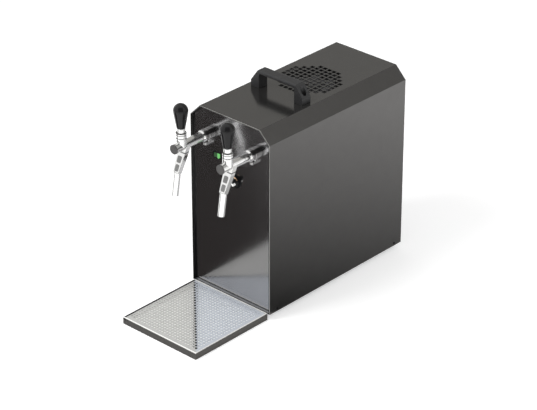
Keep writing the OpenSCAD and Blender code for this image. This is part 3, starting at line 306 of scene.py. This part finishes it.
def chrome(name="chrome"):
    f = Finish(name, (0.88, 0.88, 0.87), 0.13, 0.95)
    f.vary_color(f.noise(0.01), 0.02)
    f.vary_roughness(f.noise(0.006), 0.2)
    return f.round_edges(0.35 * MM)


def collar_chrome():
    """Chrome of the collar under the lever, with rings of painted shade at its three grooves."""
    levels = (collar_low.z + 0.5 * MM, collar_high.z - 4.2 * MM, collar_high.z - 0.5 * MM)
    return chrome("collar_chrome").paint_ring_shade(levels, width=1.3 * MM)


def tap_chrome():
    """Chrome of the tap's body, with a ring of painted shade in the corner where the neck leaves the tube.
    """
    return chrome("tap_chrome").paint_ring_shade([nut_low.z - 0.6 * MM], width=2.2 * MM, share=0.25)


def smoked_chrome():
    """Chrome in a darker colour, on the sleeves, the nuts' barrels and the small paddles."""
    f = Finish("smoked_chrome", (0.33, 0.325, 0.32), 0.16, 1.0)
    f.vary_color(f.noise(0.01), 0.04)
    return f.round_edges(0.35 * MM)


def nut_chrome():
    """The coupling nut: darker barrel, bright slotted ring at its front."""
    f = Finish("nut_chrome", (0.33, 0.325, 0.32), 0.14, 1.0)
    ring = f.remap(f.axis("Y"), 1, 0, nut_low.y + 7.5 * MM, nut_low.y + 8.0 * MM)
    f.paint(f.mix_colors(ring, f.color, (0.82, 0.82, 0.81)))
    f.vary_roughness(f.noise(0.006), 0.2)
    return f.round_edges(0.35 * MM)


def panel_grey():
    """Matt ground of the bare panels on the taps' necks."""
    f = Finish("panel_grey", (0.25, 0.25, 0.245), 0.45, 0.6)
    f.vary_color(f.noise(0.003), 0.08)
    return f.bump(f.noise(0.0005), 0.01 * MM)


def sill_grey():
    """Near-black satin sheet at the foot of the front panel: painted shade in the gap behind the tray."""
    f = Finish("sill_grey", (0.010, 0.010, 0.0105), 0.6, Specular_IOR_Level=0.15)
    f.vary_color(f.noise(0.004), 0.08)
    return f.bump(f.noise(0.0005), 0.01 * MM)


def bright_steel():
    f = Finish("bright_steel", (0.62, 0.62, 0.61), 0.25, 1.0)
    f.vary_color(f.noise(0.004), 0.06)
    f.vary_roughness(f.noise(0.004, (1, 1, 6)), 0.3)
    return f.round_edges(0.2 * MM)


def satin_metal():
    """Grey turned face of the tap's front cap."""
    f = Finish("satin_metal", (0.17, 0.168, 0.165), 0.42, 0.7)
    f.vary_color(f.noise(0.003), 0.08)
    f.round_edges(0.3 * MM)
    return f.bump(f.noise(0.0005), 0.003 * MM)


def zinc_steel():
    f = Finish("zinc_steel", (0.42, 0.43, 0.44), 0.4, 0.9)
    f.vary_color(f.noise(0.012), 0.12)
    return f.round_edges(0.4 * MM)


def black_plastic():
    """Fine-grained moulded plastic."""
    f = Finish("black_plastic", (0.022, 0.022, 0.023), 0.48)
    f.vary_color(f.noise(0.02), 0.10)
    f.vary_roughness(f.noise(0.004), 0.12)
    f.round_edges(1.0 * MM)
    return f.bump(f.noise(0.0007), 0.03 * MM, 0.5)


def dark_plastic():
    """Dead-black plastic of the small controls."""
    f = Finish("dark_plastic", (0.006, 0.006, 0.007), 0.4, Specular_IOR_Level=0.2)
    f.vary_color(f.noise(0.004), 0.15)
    f.round_edges(0.4 * MM)
    return f.bump(f.noise(0.0006), 0.02 * MM, 0.5)


def grey_plastic():
    f = Finish("grey_plastic", (0.11, 0.112, 0.115), 0.45)
    f.vary_color(f.noise(0.01), 0.08)
    f.round_edges(0.5 * MM)
    return f.bump(f.noise(0.0006), 0.02 * MM, 0.5)


def gloss_black():
    """Polished black knob."""
    f = Finish("gloss_black", (0.011, 0.0108, 0.0115), 0.14, Specular_IOR_Level=0.28)
    f.vary_color(f.noise(0.01), 0.08)
    f.vary_roughness(f.noise(0.01), 0.3)
    return f.round_edges(0.3 * MM)


def rubber():
    f = Finish("rubber", (0.016, 0.016, 0.016), 0.8)
    f.vary_color(f.noise(0.004), 0.2)
    return f.bump(f.noise(0.0008), 0.05 * MM, 0.6)


def black_enamel():
    f = Finish("black_enamel", (0.012, 0.012, 0.013), 0.25, Coat_Weight=0.3)
    f.vary_color(f.noise(0.01), 0.1)
    return f.vary_roughness(f.noise(0.01), 0.3)


def fin_aluminium():
    f = Finish("fin_aluminium", (0.6, 0.61, 0.62), 0.35, 1.0)
    return f.vary_color(f.noise(0.004), 0.1)


def cast_aluminium():
    f = Finish("cast_aluminium", (0.55, 0.56, 0.56), 0.55, 0.9)
    f.vary_color(f.noise(0.006), 0.1)
    return f.bump(f.noise(0.0015), 0.1 * MM)


def copper():
    f = Finish("copper", (0.55, 0.27, 0.15), 0.3, 1.0)
    return f.vary_color(f.noise(0.01), 0.15, (1, 0.9, 0.85))


def clear_hose():
    f = Finish("clear_hose", (0.6, 0.59, 0.54), 0.3, Transmission_Weight=0.3)
    f.vary_color(f.noise(0.01), 0.05)
    return f.vary_roughness(f.noise(0.004), 0.2)


def brushed_steel():
    """Skirt of the drip tray, brushed along its sides."""
    f = Finish("brushed_steel", (0.074, 0.071, 0.067), 0.40, 0.9)
    f.vary_color(f.noise(0.0016, (12, 12, 0.3)), 0.10)
    f.vary_roughness(f.noise(0.001, (20, 20, 0.5)), 0.2)
    f.round_edges(0.5 * MM)
    return f.bump(f.noise(0.0004, (30, 30, 1)), 0.004 * MM)


def grate_steel():
    """Perforated sheet of the grate, painted warm grey left of the row of slots and lighter, bluish grey
    right of it: painted light and shade of a sheet creased along that row, the right half with a painted
    reflection.
    """
    f = Finish("grate_steel", (0.80, 0.80, 0.79), 0.45, 0.3)
    middle = (grate_low + grate_high) / 2
    across = f.calculate("ADD", f.axis("X"), f.axis("Y"))
    half = f.remap(across, 0, 1, middle.x + middle.y - 0.5 * MM, middle.x + middle.y + 0.5 * MM)
    # Painted light and shade: the two halves differ in tone as two faces of a crease lit from one side do
    painted_shade_halves = f.mix_colors(half, (0.60, 0.60, 0.585), (0.61, 0.645, 0.70))
    f.paint(f.mix_colors(1.0, painted_shade_halves, f.remap(f.noise(0.01), 0.93, 1.0), blend_type="MULTIPLY"))
    f.vary_roughness(f.noise(0.002, (1, 10, 1)), 0.2)
    return f.bump(f.noise(0.0005, (1, 20, 1)), 0.004 * MM)


def black_steel():
    f = Finish("black_steel", (0.02, 0.02, 0.02), 0.4, 0.6)
    f.vary_color(f.noise(0.002), 0.2)
    return f.round_edges(0.2 * MM)


def green_lens():
    """Green moulded rocker, lit from inside on its right half."""
    f = Finish("green_lens", (0.02, 0.10, 0.025), 0.30)
    middle = (rocker_low.x + rocker_high.x) / 2
    lit = f.remap(f.axis("X"), 0, 1, middle + 0.5 * MM, middle + 4 * MM)
    f.link(f.mix_colors(lit, (0.0, 0.010, 0.0), (0.20, 0.62, 0.19)), f.shader.inputs["Emission Color"])
    f.shader.inputs["Emission Strength"].default_value = 0.9
    f.vary_color(f.noise(0.002), 0.08)
    return f.round_edges(0.4 * MM)


def print_ink(name, color, glow=0.0):
    """Print on the thermostat's dial and knob, made to glow by an emission of the given strength: painted
    light.
    """
    f = Finish(name, color, 0.45)
    f.shader.inputs["Emission Color"].default_value = (*color, 1)
    f.shader.inputs["Emission Strength"].default_value = glow
    return f.vary_color(f.noise(0.001), 0.08).material


def polished_rim(gleam):
    """Polished steel of the tray's folded rim and of its inside, made to glow by an emission of the given
    strength: painted highlight on the rim, painted reflection inside.
    """
    f = Finish("polished_rim", (0.70, 0.70, 0.69), 0.35, 0.3)
    f.shader.inputs["Emission Color"].default_value = (1, 1, 0.97, 1)
    f.shader.inputs["Emission Strength"].default_value = gleam
    f.vary_color(f.noise(0.004), 0.06)
    return f.vary_roughness(f.noise(0.002), 0.2)


def bare_edge():
    """Bright metal for a painted highlight along the cover's front edge."""
    f = Finish("bare_edge", (0.62, 0.62, 0.60), 0.35, 0.8)
    f.vary_color(f.noise(0.002), 0.1)
    return f.vary_roughness(f.noise(0.001), 0.2)


FINISHES = {make.__name__: make for make in (
    coated_steel, mirror_steel, chrome, bright_steel, satin_metal, zinc_steel, black_plastic,
    dark_plastic, grey_plastic, gloss_black, rubber, black_enamel, fin_aluminium, cast_aluminium,
    copper, clear_hose, brushed_steel, grate_steel, black_steel, green_lens,
)}


# Nodes whose finish differs from the rest of their slot: darker chrome, and chrome with rings of painted
# shade
SPECIAL_FINISHES = {
    "sleeve": smoked_chrome, "coupling_nut": nut_chrome, "compensator": smoked_chrome,
    "bonnet": collar_chrome, "tap_body": tap_chrome,
}


def dress_nodes():
    """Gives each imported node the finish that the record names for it, or its own."""
    made = {}
    for part in frame["record"]["subparts"]:
        kind = part["node"].replace("_left", "").replace("_right", "")
        make = SPECIAL_FINISHES.get(kind, FINISHES[part["material_slot"]])
        if make.__name__ not in made:
            made[make.__name__] = make().material
        mesh = frame["nodes"][part["node"]].data
        mesh.materials.clear()
        mesh.materials.append(made[make.__name__])
    return made


# Pieces that take a node's place


def narrow_across(mesh, share):
    """Narrows a mesh about its middle, so that the moved rocker tips clear of its rim."""
    middle = sum(vertex.co.x for vertex in mesh.vertices) / len(mesh.vertices)
    for vertex in mesh.vertices:
        vertex.co.x = middle + (vertex.co.x - middle) * share


def bring_panel_forward():
    """The photograph shows the panel closer behind the cover's edge than the solids have it."""
    bodies = {"front_panel": "cabinet", "thermostat_dial": "cabinet", "switch_housing": "cabinet",
              "thermostat_knob": "temperature_knob", "switch_rocker": "rocker"}
    for node, body in bodies.items():
        mesh = frame["nodes"][node].data.copy()
        mesh.transform(Matrix.Translation((0, -PANEL_FORWARD, 0)))
        if node == "switch_rocker":
            narrow_across(mesh, ROCKER_SHARE)
        piece = bpy.data.objects.new("near_" + node, mesh)
        bpy.context.scene.collection.objects.link(piece)
        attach(piece, body)
        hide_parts(node)


# Small pieces, several of them painted light or shade


def new_piece(name, shape, material, body):
    """Makes a piece of the shape, which rides on that body."""
    mesh = bpy.data.meshes.new(name)
    bmesh.ops.recalc_face_normals(shape, faces=shape.faces)
    shape.to_mesh(mesh)
    shape.free()
    mesh.materials.append(material)
    piece = bpy.data.objects.new(name, mesh)
    bpy.context.scene.collection.objects.link(piece)
    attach(piece, body)
    return piece


def band(rows):
    """A bar through rows of four corner points each."""
    shape = bmesh.new()
    rows = [[shape.verts.new(point) for point in row] for row in rows]
    for a, b in zip(rows, rows[1:]):
        for k in range(4):
            shape.faces.new((a[k], a[(k + 1) % 4], b[(k + 1) % 4], b[k]))
    shape.faces.new(rows[0])
    shape.faces.new(list(reversed(rows[-1])))
    return shape


def rounded_outline(half_w, half_h, radius, steps=6):
    """Corner points of a rectangle with round corners."""
    points = []
    for quarter, (sx, sy) in enumerate(((1, 1), (-1, 1), (-1, -1), (1, -1))):
        for k in range(steps + 1):
            angle = math.pi / 2 * (quarter + k / steps)
            points.append((sx * (half_w - radius) + radius * math.cos(angle),
                           sy * (half_h - radius) + radius * math.sin(angle)))
    return points


def loft(rows):
    """A closed body through rings of equally many points."""
    shape = bmesh.new()
    rings = [[shape.verts.new(point) for point in row] for row in rows]
    count = len(rings[0])
    for a, b in zip(rings, rings[1:]):
        for k in range(count):
            shape.faces.new((a[k], a[(k + 1) % count], b[(k + 1) % count], b[k]))
    shape.faces.new(rings[0])
    shape.faces.new(list(reversed(rings[-1])))
    return shape


def ring_segment(centre, inner, outer, start, end, depth, steps=32):
    """A flat arc that faces -Y, angles in degrees clockwise from the top."""
    rows = []
    for i in range(steps + 1):
        angle = math.radians(start + (end - start) * i / steps)
        across, up = math.sin(angle), math.cos(angle)
        rows.append([
            centre + Vector((r * across, y, r * up))
            for r, y in ((inner, 0), (outer, 0), (outer, -depth), (inner, -depth))
        ])
    return band(rows)


def pointer(centre, angle, start, end, width, depth):
    """A flat bar that faces -Y, along a line at that angle clockwise from the top."""
    along = Vector((math.sin(angle), 0, math.cos(angle)))
    side = Vector((along.z, 0, -along.x)) * width / 2
    out = Vector((0, -depth, 0))
    rows = []
    for r in (start, end):
        middle = centre + along * r
        rows.append([middle - side, middle + side, middle + side + out, middle - side + out])
    return band(rows)


def thermostat_marks():
    """The tan scale beside the dial's top, and the white pointer across the knob, both printed and given a
    glow of painted light.
    """
    middle = (dial_low + dial_high) / 2
    outer = (dial_high.x - dial_low.x) / 2
    skirt_face = Vector((middle.x, panel_low.y - PANEL_FORWARD - DIAL_SKIRT, middle.z))
    tan = print_ink("dial_tan", (0.62, 0.42, 0.26), glow=0.35)
    arc = ring_segment(skirt_face, outer - 7.0 * MM, outer - 4.0 * MM, start=-16, end=58, depth=0.3 * MM)
    new_piece("dial_scale", arc, tan, "temperature_knob")
    white = print_ink("index_white", (0.90, 0.90, 0.88), glow=0.5)
    angle = math.radians(137)
    index = pointer(skirt_face, angle, start=-3 * MM, end=8 * MM, width=3.0 * MM, depth=7.8 * MM)
    new_piece("index_mark", index, white, "temperature_knob")


def grille_edges(materials):
    """Dark frames round the square holes of the grille: painted shade at the holes' edges."""
    middle = (fan_low + fan_high) / 2
    z, rise, shade_width = cover_high.z - 0.05 * MM, 0.1 * MM, 0.65 * MM
    inner, outer = GRILLE_HOLE / 2, GRILLE_HOLE / 2 + shade_width
    corners = ((-1, -1), (1, -1), (1, 1), (-1, 1))
    shape = bmesh.new()
    places = range(-GRILLE_REACH, GRILLE_REACH + 1)
    for i, j in [(i, j) for i in places for j in places if abs(i) + abs(j) <= GRILLE_CORNER]:
        x, y = middle.x + i * GRILLE_PITCH, middle.y + j * GRILLE_PITCH
        rings = [[shape.verts.new((x + a * reach, y + b * reach, z + level)) for a, b in corners]
                 for reach, level in ((inner, 0), (outer, 0), (outer, rise), (inner, rise))]
        for a, b in zip(rings, rings[1:] + rings[:1]):
            for k in range(4):
                shape.faces.new((a[k], a[(k + 1) % 4], b[(k + 1) % 4], b[k]))
    new_piece("grille_edges", shape, materials["dark_plastic"], "cabinet")


def cover_edge_line():
    """A bright strip round the front of the cover: painted highlight on its edge."""
    half, top, bottom, y = cover_high.x, cover_high.z, cover_low.z, cover_low.y
    slant = COVER_CHAMFER
    inward = EDGE_MITRE * EDGE_WIDTH
    outline = [(-half, top - slant), (slant - half, top), (half - slant, top), (half, top - slant),
               (half, bottom)]
    inner = [(EDGE_WIDTH - half, top - slant - inward), (slant - half + inward, top - EDGE_WIDTH),
             (half - slant - inward, top - EDGE_WIDTH), (half - EDGE_WIDTH, top - slant - inward),
             (half - EDGE_WIDTH, bottom)]
    rows = [[(a[0], y, a[1]), (b[0], y, b[1]), (b[0], y - EDGE_DEPTH, b[1]), (a[0], y - EDGE_DEPTH, a[1])]
            for a, b in zip(outline, inner)]
    new_piece("cover_edge", band(rows), bare_edge().material, "cabinet")


def rim_line(name, corners, inward, material):
    """A flat strip on the tray's rim between two of its corners."""
    high, low = tray_high.z + RIM_RISE, tray_high.z - RIM_DROP
    rows = []
    for x, y in corners:
        inner_x, inner_y = x + inward[0] * RIM_WIDTH, y + inward[1] * RIM_WIDTH
        rows.append([(x, y, low), (x, y, high), (inner_x, inner_y, high), (inner_x, inner_y, low)])
    new_piece(name, band(rows), material, "tray")


def tray_edge_lines(materials):
    """Bright painted highlights on the tray's folded rim and its front corner, and a dark line of painted
    reflection along its left edge.
    """
    bright, soft = polished_rim(gleam=0.42).material, polished_rim(gleam=0.1).material
    left, right, front, rear = tray_low.x, tray_high.x, tray_low.y, tray_high.y
    rim_line("tray_rim_front", ((left, front), (right, front)), (0, 1), bright)
    rim_line("tray_rim_rear", ((left, rear), (right, rear)), (0, -1), soft)
    side_start, side_end = front + RIM_WIDTH, rear - RIM_WIDTH
    rim_line("tray_rim_right", ((right, side_start), (right, side_end)), (-1, 0), soft)
    # The left rim strip takes the dark rubber finish: a painted dark reflection along that edge
    rim_line("tray_rim_left", ((left, side_start), (left, side_end)), (1, 0), materials["rubber"])
    # The bright strip up the front right corner is a painted highlight
    bend = CORNER_BEND
    corner = band([[(right - bend, front, z), (right, front + bend, z), (right - bend / 2, front + bend, z),
                    (right - bend, front + bend / 2, z)] for z in (1 * MM, tray_high.z - RIM_DROP)])
    new_piece("tray_corner", corner, bright, "tray")


def tray_inside():
    """The tray's polished floor, made to glow with a painted reflection that shows through the holes of the
    grate.
    """
    margin = 4 * MM
    top, bottom = tray_low.z + 2.6 * MM, tray_low.z + 2.0 * MM
    x0, x1, y0, y1 = tray_low.x + margin, tray_high.x - margin, tray_low.y + margin, tray_high.y - margin
    rows = [[(x, y0, top), (x, y1, top), (x, y1, bottom), (x, y0, bottom)] for x in (x0, x1)]
    new_piece("tray_inside", band(rows), polished_rim(gleam=0.45).material, "tray")


def hole_edge(angle, slotted):
    """How far a hole's edge lies from its middle in that direction: a round hole or a diagonal slot."""
    if not slotted:
        return GRATE_HOLE / 2
    least = 1e-6
    along = max(abs(math.cos(angle + math.pi / 4)), least)
    across = max(abs(math.sin(angle + math.pi / 4)), least)
    cell = GRATE_PITCH / 2 / max(abs(math.cos(angle)), abs(math.sin(angle)))
    return min(GRATE_SLOT[0] / 2 / along, GRATE_SLOT[1] / 2 / across, SLOT_SHARE * cell)


def grate_cell(shape, centre, slotted):
    """One square of the grate's sheet with its hole."""
    inner, outer = [], []
    for k in range(HOLE_CORNERS):
        angle = 2 * math.pi * k / HOLE_CORNERS
        direction = Vector((math.cos(angle), math.sin(angle), 0))
        to_side = GRATE_PITCH / 2 / max(abs(direction.x), abs(direction.y))
        inner.append(shape.verts.new(centre + direction * hole_edge(angle, slotted)))
        outer.append(shape.verts.new(centre + direction * to_side))
    for k in range(HOLE_CORNERS):
        n = (k + 1) % HOLE_CORNERS
        shape.faces.new((inner[k], outer[k], outer[n], inner[n]))


def grate_border(shape, middle, reach):
    """Draws the outer edges of the field of holes out to the edges of the sheet."""
    nearly = reach - 0.05 * MM
    border = [edge for edge in shape.edges if edge.is_boundary and all(
        max(abs(v.co.x - middle.x), abs(v.co.y - middle.y)) > nearly for v in edge.verts)]
    made = bmesh.ops.extrude_edge_only(shape, edges=border)["geom"]
    for vert in [v for v in made if isinstance(v, bmesh.types.BMVert)]:
        for axis in range(2):
            side = vert.co[axis] - middle[axis]
            if abs(side) > nearly:
                vert.co[axis] = grate_high[axis] if side > 0 else grate_low[axis]


def perforated_grate(materials):
    """The grate's sheet, perforated nearly to its edge and with a row of slots on the diagonal."""
    middle = (grate_low + grate_high) / 2 + Vector((-GRATE_SHIFT, GRATE_SHIFT, 0))
    last = GRATE_ROWS - 1
    shape = bmesh.new()
    for i in range(GRATE_ROWS):
        x = middle.x + (i - last / 2) * GRATE_PITCH
        for j in range(GRATE_ROWS):
            y = middle.y + (j - last / 2) * GRATE_PITCH
            grate_cell(shape, Vector((x, y, grate_high.z)), slotted=i + j == last)
    bmesh.ops.remove_doubles(shape, verts=shape.verts, dist=0.02 * MM)
    grate_border(shape, middle, GRATE_PITCH / 2 * GRATE_ROWS)
    sheet = bmesh.ops.extrude_face_region(shape, geom=shape.faces[:], use_keep_orig=True)["geom"]
    under = [v for v in sheet if isinstance(v, bmesh.types.BMVert)]
    bmesh.ops.translate(shape, verts=under, vec=(0, 0, grate_low.z - grate_high.z))
    piece = new_piece("grate_sheet", shape, materials["grate_steel"], "grate")
    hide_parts("drip_grate")


def grate_seam(materials):
    """A dark strip under the diagonal row of slots: painted shade that makes the slots read black."""
    inset, half_w = 5 * MM, 3.4 * MM
    top, bottom = grate_low.z - 0.1 * MM, grate_low.z - 0.9 * MM
    x0, x1 = grate_low.x + inset, grate_high.x - inset
    y0, y1 = grate_low.y + inset, grate_high.y - inset
    rows = [[(x - half_w, y - half_w, top), (x + half_w, y + half_w, top),
             (x + half_w, y + half_w, bottom), (x - half_w, y - half_w, bottom)]
            for x, y in ((x0, y1), (x1, y0))]
    new_piece("grate_seam", band(rows), materials["rubber"], "grate")


def sill(materials):
    """The black edge strip and the near-black satin sill between the tray and the polished panel: dark
    sheets of painted shade in the gap there.
    """
    margin, strip = 1.4 * MM, 2.2 * MM
    x0, x1 = cover_low.x + margin, cover_high.x - margin
    start, end = cover_low.y + 0.1 * MM, panel_low.y - PANEL_FORWARD - 0.05 * MM
    bottom, top = cover_low.z + 1.2 * MM, tray_high.z
    pieces = (("edge_strip", start, start + strip, top, materials["dark_plastic"], "rubber"),
              ("sill", start + strip, end, top - 0.4 * MM, sill_grey().material, "coated_steel"))
    for name, front, rear, height, material, slot in pieces:
        rows = [[(x, front, bottom), (x, rear, bottom), (x, rear, height), (x, front, height)]
                for x in (x0, x1)]
        new_piece(name, band(rows), material, "cabinet")


def neck_panels():
    """Two bare grey panels on the sloping front of each tap's neck."""
    material = panel_grey().material
    across = Vector((1, 0, 0))
    up = Vector((0, math.sin(NECK_TILT), math.cos(NECK_TILT)))
    out = Vector((0, -math.cos(NECK_TILT), math.sin(NECK_TILT)))
    tap_x = (spout_low.x + spout_high.x) / 2
    half_length = NECK_PANEL_LENGTH / 2
    for side, name in ((-1, "left"), (1, "right")):
        foot = Vector((side * tap_x, NECK_BEND_Y - NECK_THICKNESS / 2, NECK_BEND_Z))
        for row, (height, width) in enumerate(NECK_PANELS):
            centre = foot + up * (height / math.cos(NECK_TILT))
            rings = []
            for level, margin in ((-0.1 * MM, 0), (0.12 * MM, 0), (0.2 * MM, 0.3 * MM)):
                outline = rounded_outline(width / 2 - margin, half_length - margin, NECK_PANEL_CORNER)
                rings.append([centre + out * level + a * across + b * up for a, b in outline])
            new_piece(f"neck_panel_{name}_{row}", loft(rings), material, "cabinet")


# Stage, light and camera


def seen_rays(tree):
    """1 for what the camera, a reflection or glass sees, 0 for the light that falls on things."""
    rays = tree.nodes.new("ShaderNodeLightPath")
    total = rays.outputs["Is Camera Ray"]
    for kind in ("Is Glossy Ray", "Is Transmission Ray"):
        either = tree.nodes.new("ShaderNodeMath")
        either.operation = "MAXIMUM"
        tree.links.new(total, either.inputs[0])
        tree.links.new(rays.outputs[kind], either.inputs[1])
        total = either.outputs[0]
    return total


def build_floor():
    """A pale floor that reads as white and keeps the soft shadow of the object."""
    bpy.ops.mesh.primitive_plane_add(size=40, location=(0, 0, 0))
    floor = bpy.context.object
    floor.name = "floor"
    material = bpy.data.materials.new("floor")
    material.use_nodes = True
    tree = material.node_tree
    shader = tree.nodes["Principled BSDF"]
    shader.inputs["Base Color"].default_value = (0.82, 0.82, 0.82, 1)
    shader.inputs["Roughness"].default_value = 0.9
    shader.inputs["Specular IOR Level"].default_value = 0.0
    shader.inputs["Emission Color"].default_value = (1, 1, 1, 1)
    glow = tree.nodes.new("ShaderNodeMath")
    glow.operation = "MULTIPLY"
    glow.inputs[1].default_value = 0.42
    tree.links.new(seen_rays(tree), glow.inputs[0])
    tree.links.new(glow.outputs[0], shader.inputs["Emission Strength"])
    floor.data.materials.append(material)


def build_world():
    """White surroundings for the eye and for reflections, a dimmer fill for the rest."""
    world = bpy.data.worlds.new("studio")
    bpy.context.scene.world = world
    world.use_nodes = True
    tree = world.node_tree
    background = tree.nodes["Background"]
    background.inputs["Color"].default_value = (1, 1, 1, 1)
    strength = tree.nodes.new("ShaderNodeMapRange")
    strength.inputs["To Min"].default_value = 0.55
    strength.inputs["To Max"].default_value = 1.0
    tree.links.new(seen_rays(tree), strength.inputs["Value"])
    tree.links.new(strength.outputs["Result"], background.inputs["Strength"])


def studio_card(name, corners, shade, fade=None, turn=0.0, tint=(1, 1, 1)):
    """A card that only reflections see; fade is two places along its X and the shade at the second."""
    mesh = bpy.data.meshes.new(name)
    mesh.from_pydata(corners, [], [range(len(corners))])
    f = Finish(name, (0, 0, 0), 1.0, Specular_IOR_Level=0.0)
    f.shader.inputs["Emission Color"].default_value = (*tint, 1)
    f.shader.inputs["Emission Strength"].default_value = shade
    if fade:
        start, end, end_shade = fade
        f.link(f.remap(f.axis("X"), shade, end_shade, start, end), f.shader.inputs["Emission Strength"])
    mesh.materials.append(f.material)
    card = bpy.data.objects.new(name, mesh)
    card.rotation_euler.z = turn
    bpy.context.scene.collection.objects.link(card)
    card.visible_camera = False
    card.visible_diffuse = False
    card.visible_shadow = False
    card.visible_transmission = False


def build_table_card():
    """A dark card on the table in front, where the polished panel looks past the tray."""
    reach, left_margin, right_margin = 1.5, 0.25, 0.10
    _, _, back = camera_axes()
    seen = Vector((-back.x, back.y, 0)).normalized()
    wall = panel_low.y
    left, front = tray_low.x - 6 * MM, tray_low.y - 30 * MM
    far_left = Vector((panel_low.x - left_margin, wall, CARD_LIFT)) + seen * reach
    far_right = Vector((panel_high.x + right_margin, wall, CARD_LIFT)) + seen * reach
    near_right = far_right + seen * ((front - far_right.y) / seen.y)
    studio_card("table_card", [(left - left_margin, wall, CARD_LIFT), far_left, far_right, near_right,
                               (left, front, CARD_LIFT), (left, wall, CARD_LIFT)],
                shade=0.055, tint=(1, 0.90, 0.87))


def build_side_card():
    """A card on the table beside the cabinet, from black near it to white further off."""
    near, far, front, rear = 0.016, 0.931, -0.45, 0.4
    corners = [(near, front, CARD_LIFT), (far, front, CARD_LIFT),
               (far, rear, CARD_LIFT), (near, rear, CARD_LIFT)]
    studio_card("side_card", corners, shade=0.0, fade=(near, far, 1.0), turn=math.radians(49.5))


def build_far_cards():
    """A grey card behind, which the cover's top mirrors, and a dark one round the camera for the taps."""
    left, right, distance, low_edge, high_edge = -7, 3.4, 3, 0.6, 7
    corners = [(left, distance, low_edge), (right, distance, low_edge),
               (right, distance, high_edge), (left, distance, high_edge)]
    studio_card("back_card", corners, shade=0.42, fade=(-2.0, 2.4, 0.34), tint=(1, 0.985, 0.94))
    right, up, back = camera_axes()
    centre = Vector((0, cover_low.y, 0.3)) + back * 2.5
    side, below, above = right * 1.9, up * 1.0, up * 2.2
    corners = [centre - side - below, centre + side - below, centre + side + above, centre - side + above]
    studio_card("camera_card", corners, shade=0.06)


def add_lamp(name, azimuth, elevation, distance, size, power, target=(0, 0, 0.2)):
    """A square area lamp at compass angles round the object, in degrees, aimed at it."""
    light = bpy.data.lights.new(name, "AREA")
    light.size = size
    light.energy = power
    lamp = bpy.data.objects.new(name, light)
    bpy.context.scene.collection.objects.link(lamp)
    a, e = math.radians(azimuth), math.radians(elevation)
    away = Vector((math.sin(a) * math.cos(e), -math.cos(a) * math.cos(e), math.sin(e)))
    lamp.location = Vector(target) + away * distance
    lamp.rotation_euler = away.to_track_quat("Z", "Y").to_euler()
    lamp.visible_camera = False
    lamp.visible_glossy = False


def build_lights():
    add_lamp("key", azimuth=-25, elevation=55, distance=2.2, size=0.9, power=30)
    add_lamp("side", azimuth=95, elevation=40, distance=2.4, size=1.0, power=14)


def camera_axes():
    """Right, up and back as the camera has them."""
    a, e = CAMERA_AZIMUTH, CAMERA_ELEVATION
    back = Vector((math.sin(a) * math.cos(e), -math.cos(a) * math.cos(e), math.sin(e)))
    right = Vector((math.cos(a), math.sin(a), 0))
    return right, back.cross(right), back


def build_camera():
    right, up, back = camera_axes()
    camera = bpy.data.cameras.new("camera")
    camera.lens = CAMERA_LENS
    camera.sensor_width = CAMERA_SENSOR
    camera.clip_end = 100
    eye = bpy.data.objects.new("camera", camera)
    bpy.context.scene.collection.objects.link(eye)
    target = Vector((0, cover_low.y, CAMERA_TARGET_HEIGHT))
    place = target + back * CAMERA_DISTANCE + right * CAMERA_SHIFT_RIGHT + up * CAMERA_SHIFT_UP
    eye.matrix_world = Matrix.Translation(place) @ Matrix((right, up, back)).transposed().to_4x4()
    bpy.context.scene.camera = eye


build_camera()
materials = dress_nodes()
bring_panel_forward()
thermostat_marks()
grille_edges(materials)
cover_edge_line()
tray_edge_lines(materials)
perforated_grate(materials)
grate_seam(materials)
tray_inside()
sill(materials)
neck_panels()
build_floor()
build_world()
build_table_card()
build_side_card()
build_far_cards()
build_lights()
bpy.context.scene.view_settings.view_transform = "Standard"
